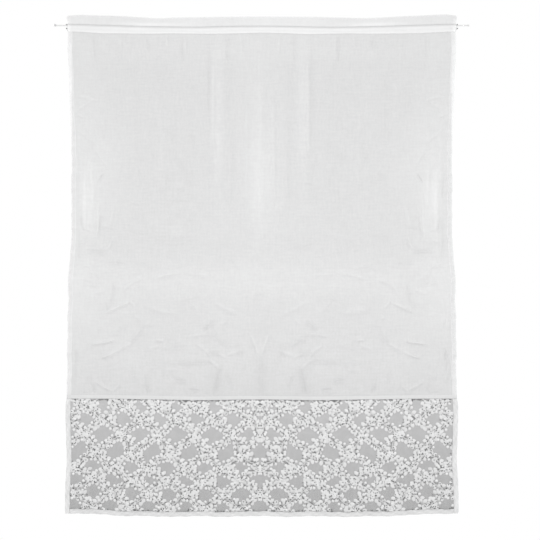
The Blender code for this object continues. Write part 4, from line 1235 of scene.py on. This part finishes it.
z_up = 4.7 - station("rod", xs)
straight(z_up, np.full(xs.shape, -0.60), np.full(xs.shape, 0.60))
z_low = -21.3 - station("rod", xs) - foot_drop(xs, -21.3)
straight(z_low, np.full(xs.shape, -0.48), np.full(xs.shape, 0.48))
lv = np.full(xs.shape, SEAM_LEVEL + 5.0)
straight(hung(xs, lv), depth(xs, lv) - 0.30, depth(xs, lv) + 0.85)
lv = np.full(xs.shape, BOTTOM_LEVEL + 13.4)
straight(hung(xs, lv), depth(xs, lv) - 0.74, depth(xs, lv) + 0.74, xs * 0.985)
levels = np.linspace(-24, SEAM_LEVEL + 12, 420)
for side in (-1, 1):
    x = side * (half_width(levels) + edge_ripple(levels) - 14.2)
    for y, sign in ((depth(x, levels) - 0.16, -1.0), (depth(x, levels) + 0.52, 1.0)):
        stitch_row(np.stack([x, y, hung(x, levels)], 1), np.tile([0.0, sign, 0.0], (len(x), 1)), store)
    ls = np.linspace(SEAM_LEVEL - 3, BOTTOM_LEVEL + 4, 130)
    x = side * (half_width(ls) + edge_ripple(ls) * 0.7 - 13.4)
    middle = depth(x, ls) + lace_offset(ls)
    for y, sign in ((middle - 0.74, -1.0), (middle + 0.74, 1.0)):
        stitch_row(np.stack([x, y, hung(x, ls)], 1), np.tile([0.0, sign, 0.0], (len(x), 1)), store)
stitches = new_object("stitching", np.concatenate(store["points"]), np.concatenate(store["faces"]),
                      [THREAD], sharp=80.0)

# tacks round the edge at the pocket's two mouths: a few thick stitches one above another, their dark thread painted
# shade of the mouths
store = {"points": [], "faces": [], "count": 0}
for side in (-1, 1):
    for up, tall, y in ((2.7, 3.0, -3.5), (-11.4, 3.6, -2.3)):
        for k in range(4):
            z = up + tall * (k / 3.0 - 0.5)
            x = side * (np.array([700.8, 703.8, 706.8]) + (0.6 if side > 0 else -0.6) + 0.4 * math.sin(k * 2.1 + up))
            stitch_row(np.stack([x, [y, y * 0.7, y * 0.2], [z, z, z]], 1),
                       np.tile([0.0, -1.0, 0.0], (3, 1)), store,
                       length=5.2, pitch=5.3, wide=1.1, high=0.5)
tacks = new_object("bar_tacks", np.concatenate(store["points"]), np.concatenate(store["faces"]),
                   [TACK_SHADE], sharp=80.0)


# ------------------------------------------------------------------ rod and caps
def turned(name, rows, material, axis_x=0.0, sign=1, sides=36, sharp=35.0):
    """Turned about the rod's axis from (along, radius, lift) rows; both ends closed."""
    loops = []
    for s, r, lift in rows:
        ring = [(axis_x + sign * s, r * math.cos(a), r * math.sin(a) + lift)
                for a in (2 * math.pi * i / sides for i in range(sides))]
        loops.append(ring if sign > 0 else ring[::-1])
    return swept(name, loops, material, sharp)


def rod_tube():
    loops, sides = [], 28
    for x in np.concatenate([[-ROD_HALF_LENGTH, -ROD_HALF_LENGTH + 0.4],
                             np.linspace(-735, 735, 190),
                             [ROD_HALF_LENGTH - 0.4, ROD_HALF_LENGTH]]):
        r = ROD_RADIUS - (0.3 if abs(x) > ROD_HALF_LENGTH - 0.2 else 0.0)
        drop = float(station("rod", x))
        loops.append([(x, r * math.cos(a), r * math.sin(a) - drop)
                      for a in (2 * math.pi * i / sides for i in range(sides))])
    return swept("rod_tube", loops, ROD_PAINT, 35.0)


tube = rod_tube()
mouth = ROD_HALF_LENGTH - CAP_DEPTH
bore = ROD_RADIUS + 0.2
cap_left = turned("cap_flared", [
    (CAP_DEPTH + 0.2, bore, 0.0), (0.5, bore, 0.0), (0.0, bore + 0.3, 0.0), (0.0, 3.4, 0.0),
    (0.3, 3.55, 0.0), (1.6, 3.65, 0.05), (2.6, 3.85, 0.3), (3.5, 4.1, 0.7), (4.2, 4.3, 1.0),
    (5.6, 4.4, 1.2), (6.1, 4.3, 1.2), (6.45, 4.1, 1.2),
    (CAP_DEPTH + CAP_FACE, 3.7, 1.2)], CAP_PLASTIC, axis_x=-mouth, sign=-1)
cap_right = turned("cap_plain", [
    (CAP_DEPTH + 0.2, bore, 0.0), (0.4, bore, 0.0), (0.0, bore + 0.2, 0.0), (0.0, 3.2, 0.0),
    (0.25, 3.4, 0.0), (5.6, 3.4, 0.0), (6.1, 3.3, 0.0), (6.45, 3.05, 0.0),
    (CAP_DEPTH + CAP_FACE, 2.6, 0.0)], CAP_WHITE, axis_x=mouth, sign=1)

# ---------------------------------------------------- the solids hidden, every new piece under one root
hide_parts("voile_panel")
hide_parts("lace_band")
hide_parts("binding_left")
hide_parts("binding_right")
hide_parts("binding_bottom")
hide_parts("rod")
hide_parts("rod_cap_left")
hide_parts("rod_cap_right")
for piece, slot in ((panel, "voile"), (net, "lace"), (strip_left, "binding"),
                    (strip_right, "binding"), (strip_bottom, "binding"), (stitches, "voile"),
                    (tacks, "voile"), (tube, "rod"), (cap_left, "cap"), (cap_right, "cap"),
                    *((p, "lace") for p in lace_pieces)):
    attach(piece, "root")

# ------------------------------------------------------- floor, light and camera
floor_mesh = bpy.data.meshes.new("floor")
ring = [(2.1 * math.cos(a), 2.1 * math.sin(a), -2.22) for a in
        (2 * math.pi * k / 96 for k in range(96))]
floor_mesh.from_pydata(ring, [], [tuple(range(96))])
floor = bpy.data.objects.new("floor", floor_mesh)
bpy.context.collection.objects.link(floor)
pale = bpy.data.materials.new("pale_floor")
pale.use_nodes = True
pale.node_tree.nodes["Principled BSDF"].inputs["Base Color"].default_value = (0.86, 0.86, 0.86, 1)
pale.node_tree.nodes["Principled BSDF"].inputs["Roughness"].default_value = 0.9
floor_mesh.materials.append(pale)

world = bpy.data.worlds.new("studio")
bpy.context.scene.world = world
world.use_nodes = True
world.node_tree.nodes["Background"].inputs["Color"].default_value = (1, 1, 1, 1)
world.node_tree.nodes["Background"].inputs["Strength"].default_value = 1.0


def aimed(lamp, place, target):
    lamp.location = place
    lamp.rotation_euler = (Vector(target) - Vector(place)).to_track_quat("-Z", "Y").to_euler()
    bpy.context.collection.objects.link(lamp)


high = bpy.data.lights.new("high_light", "SUN")
high.energy, high.angle = 2.5, math.radians(15.0)
aimed(bpy.data.objects.new("high_light", high), (0, -4.0, 2.4), (0, 0, -0.6))
middle = bpy.data.lights.new("middle_light", "AREA")
middle.shape, middle.size, middle.energy = "DISK", 0.5, 26.0
middle_lamp = bpy.data.objects.new("middle_light", middle)
aimed(middle_lamp, (-0.006, -2.4, -0.60), (-0.006, 0, -0.60))
middle_lamp.visible_camera = False

camera = bpy.data.cameras.new("camera")
camera.sensor_width = 36.0
camera.lens = 36.0 * 9.0 / 1.944
camera.clip_end = 60.0
eye = bpy.data.objects.new("camera", camera)
eye.location = (0.0296, -9.0, -0.8807)
eye.rotation_euler = (math.pi / 2, 0, 0)
bpy.context.collection.objects.link(eye)
bpy.context.scene.camera = eye
bpy.context.scene.view_settings.view_transform = "Standard"
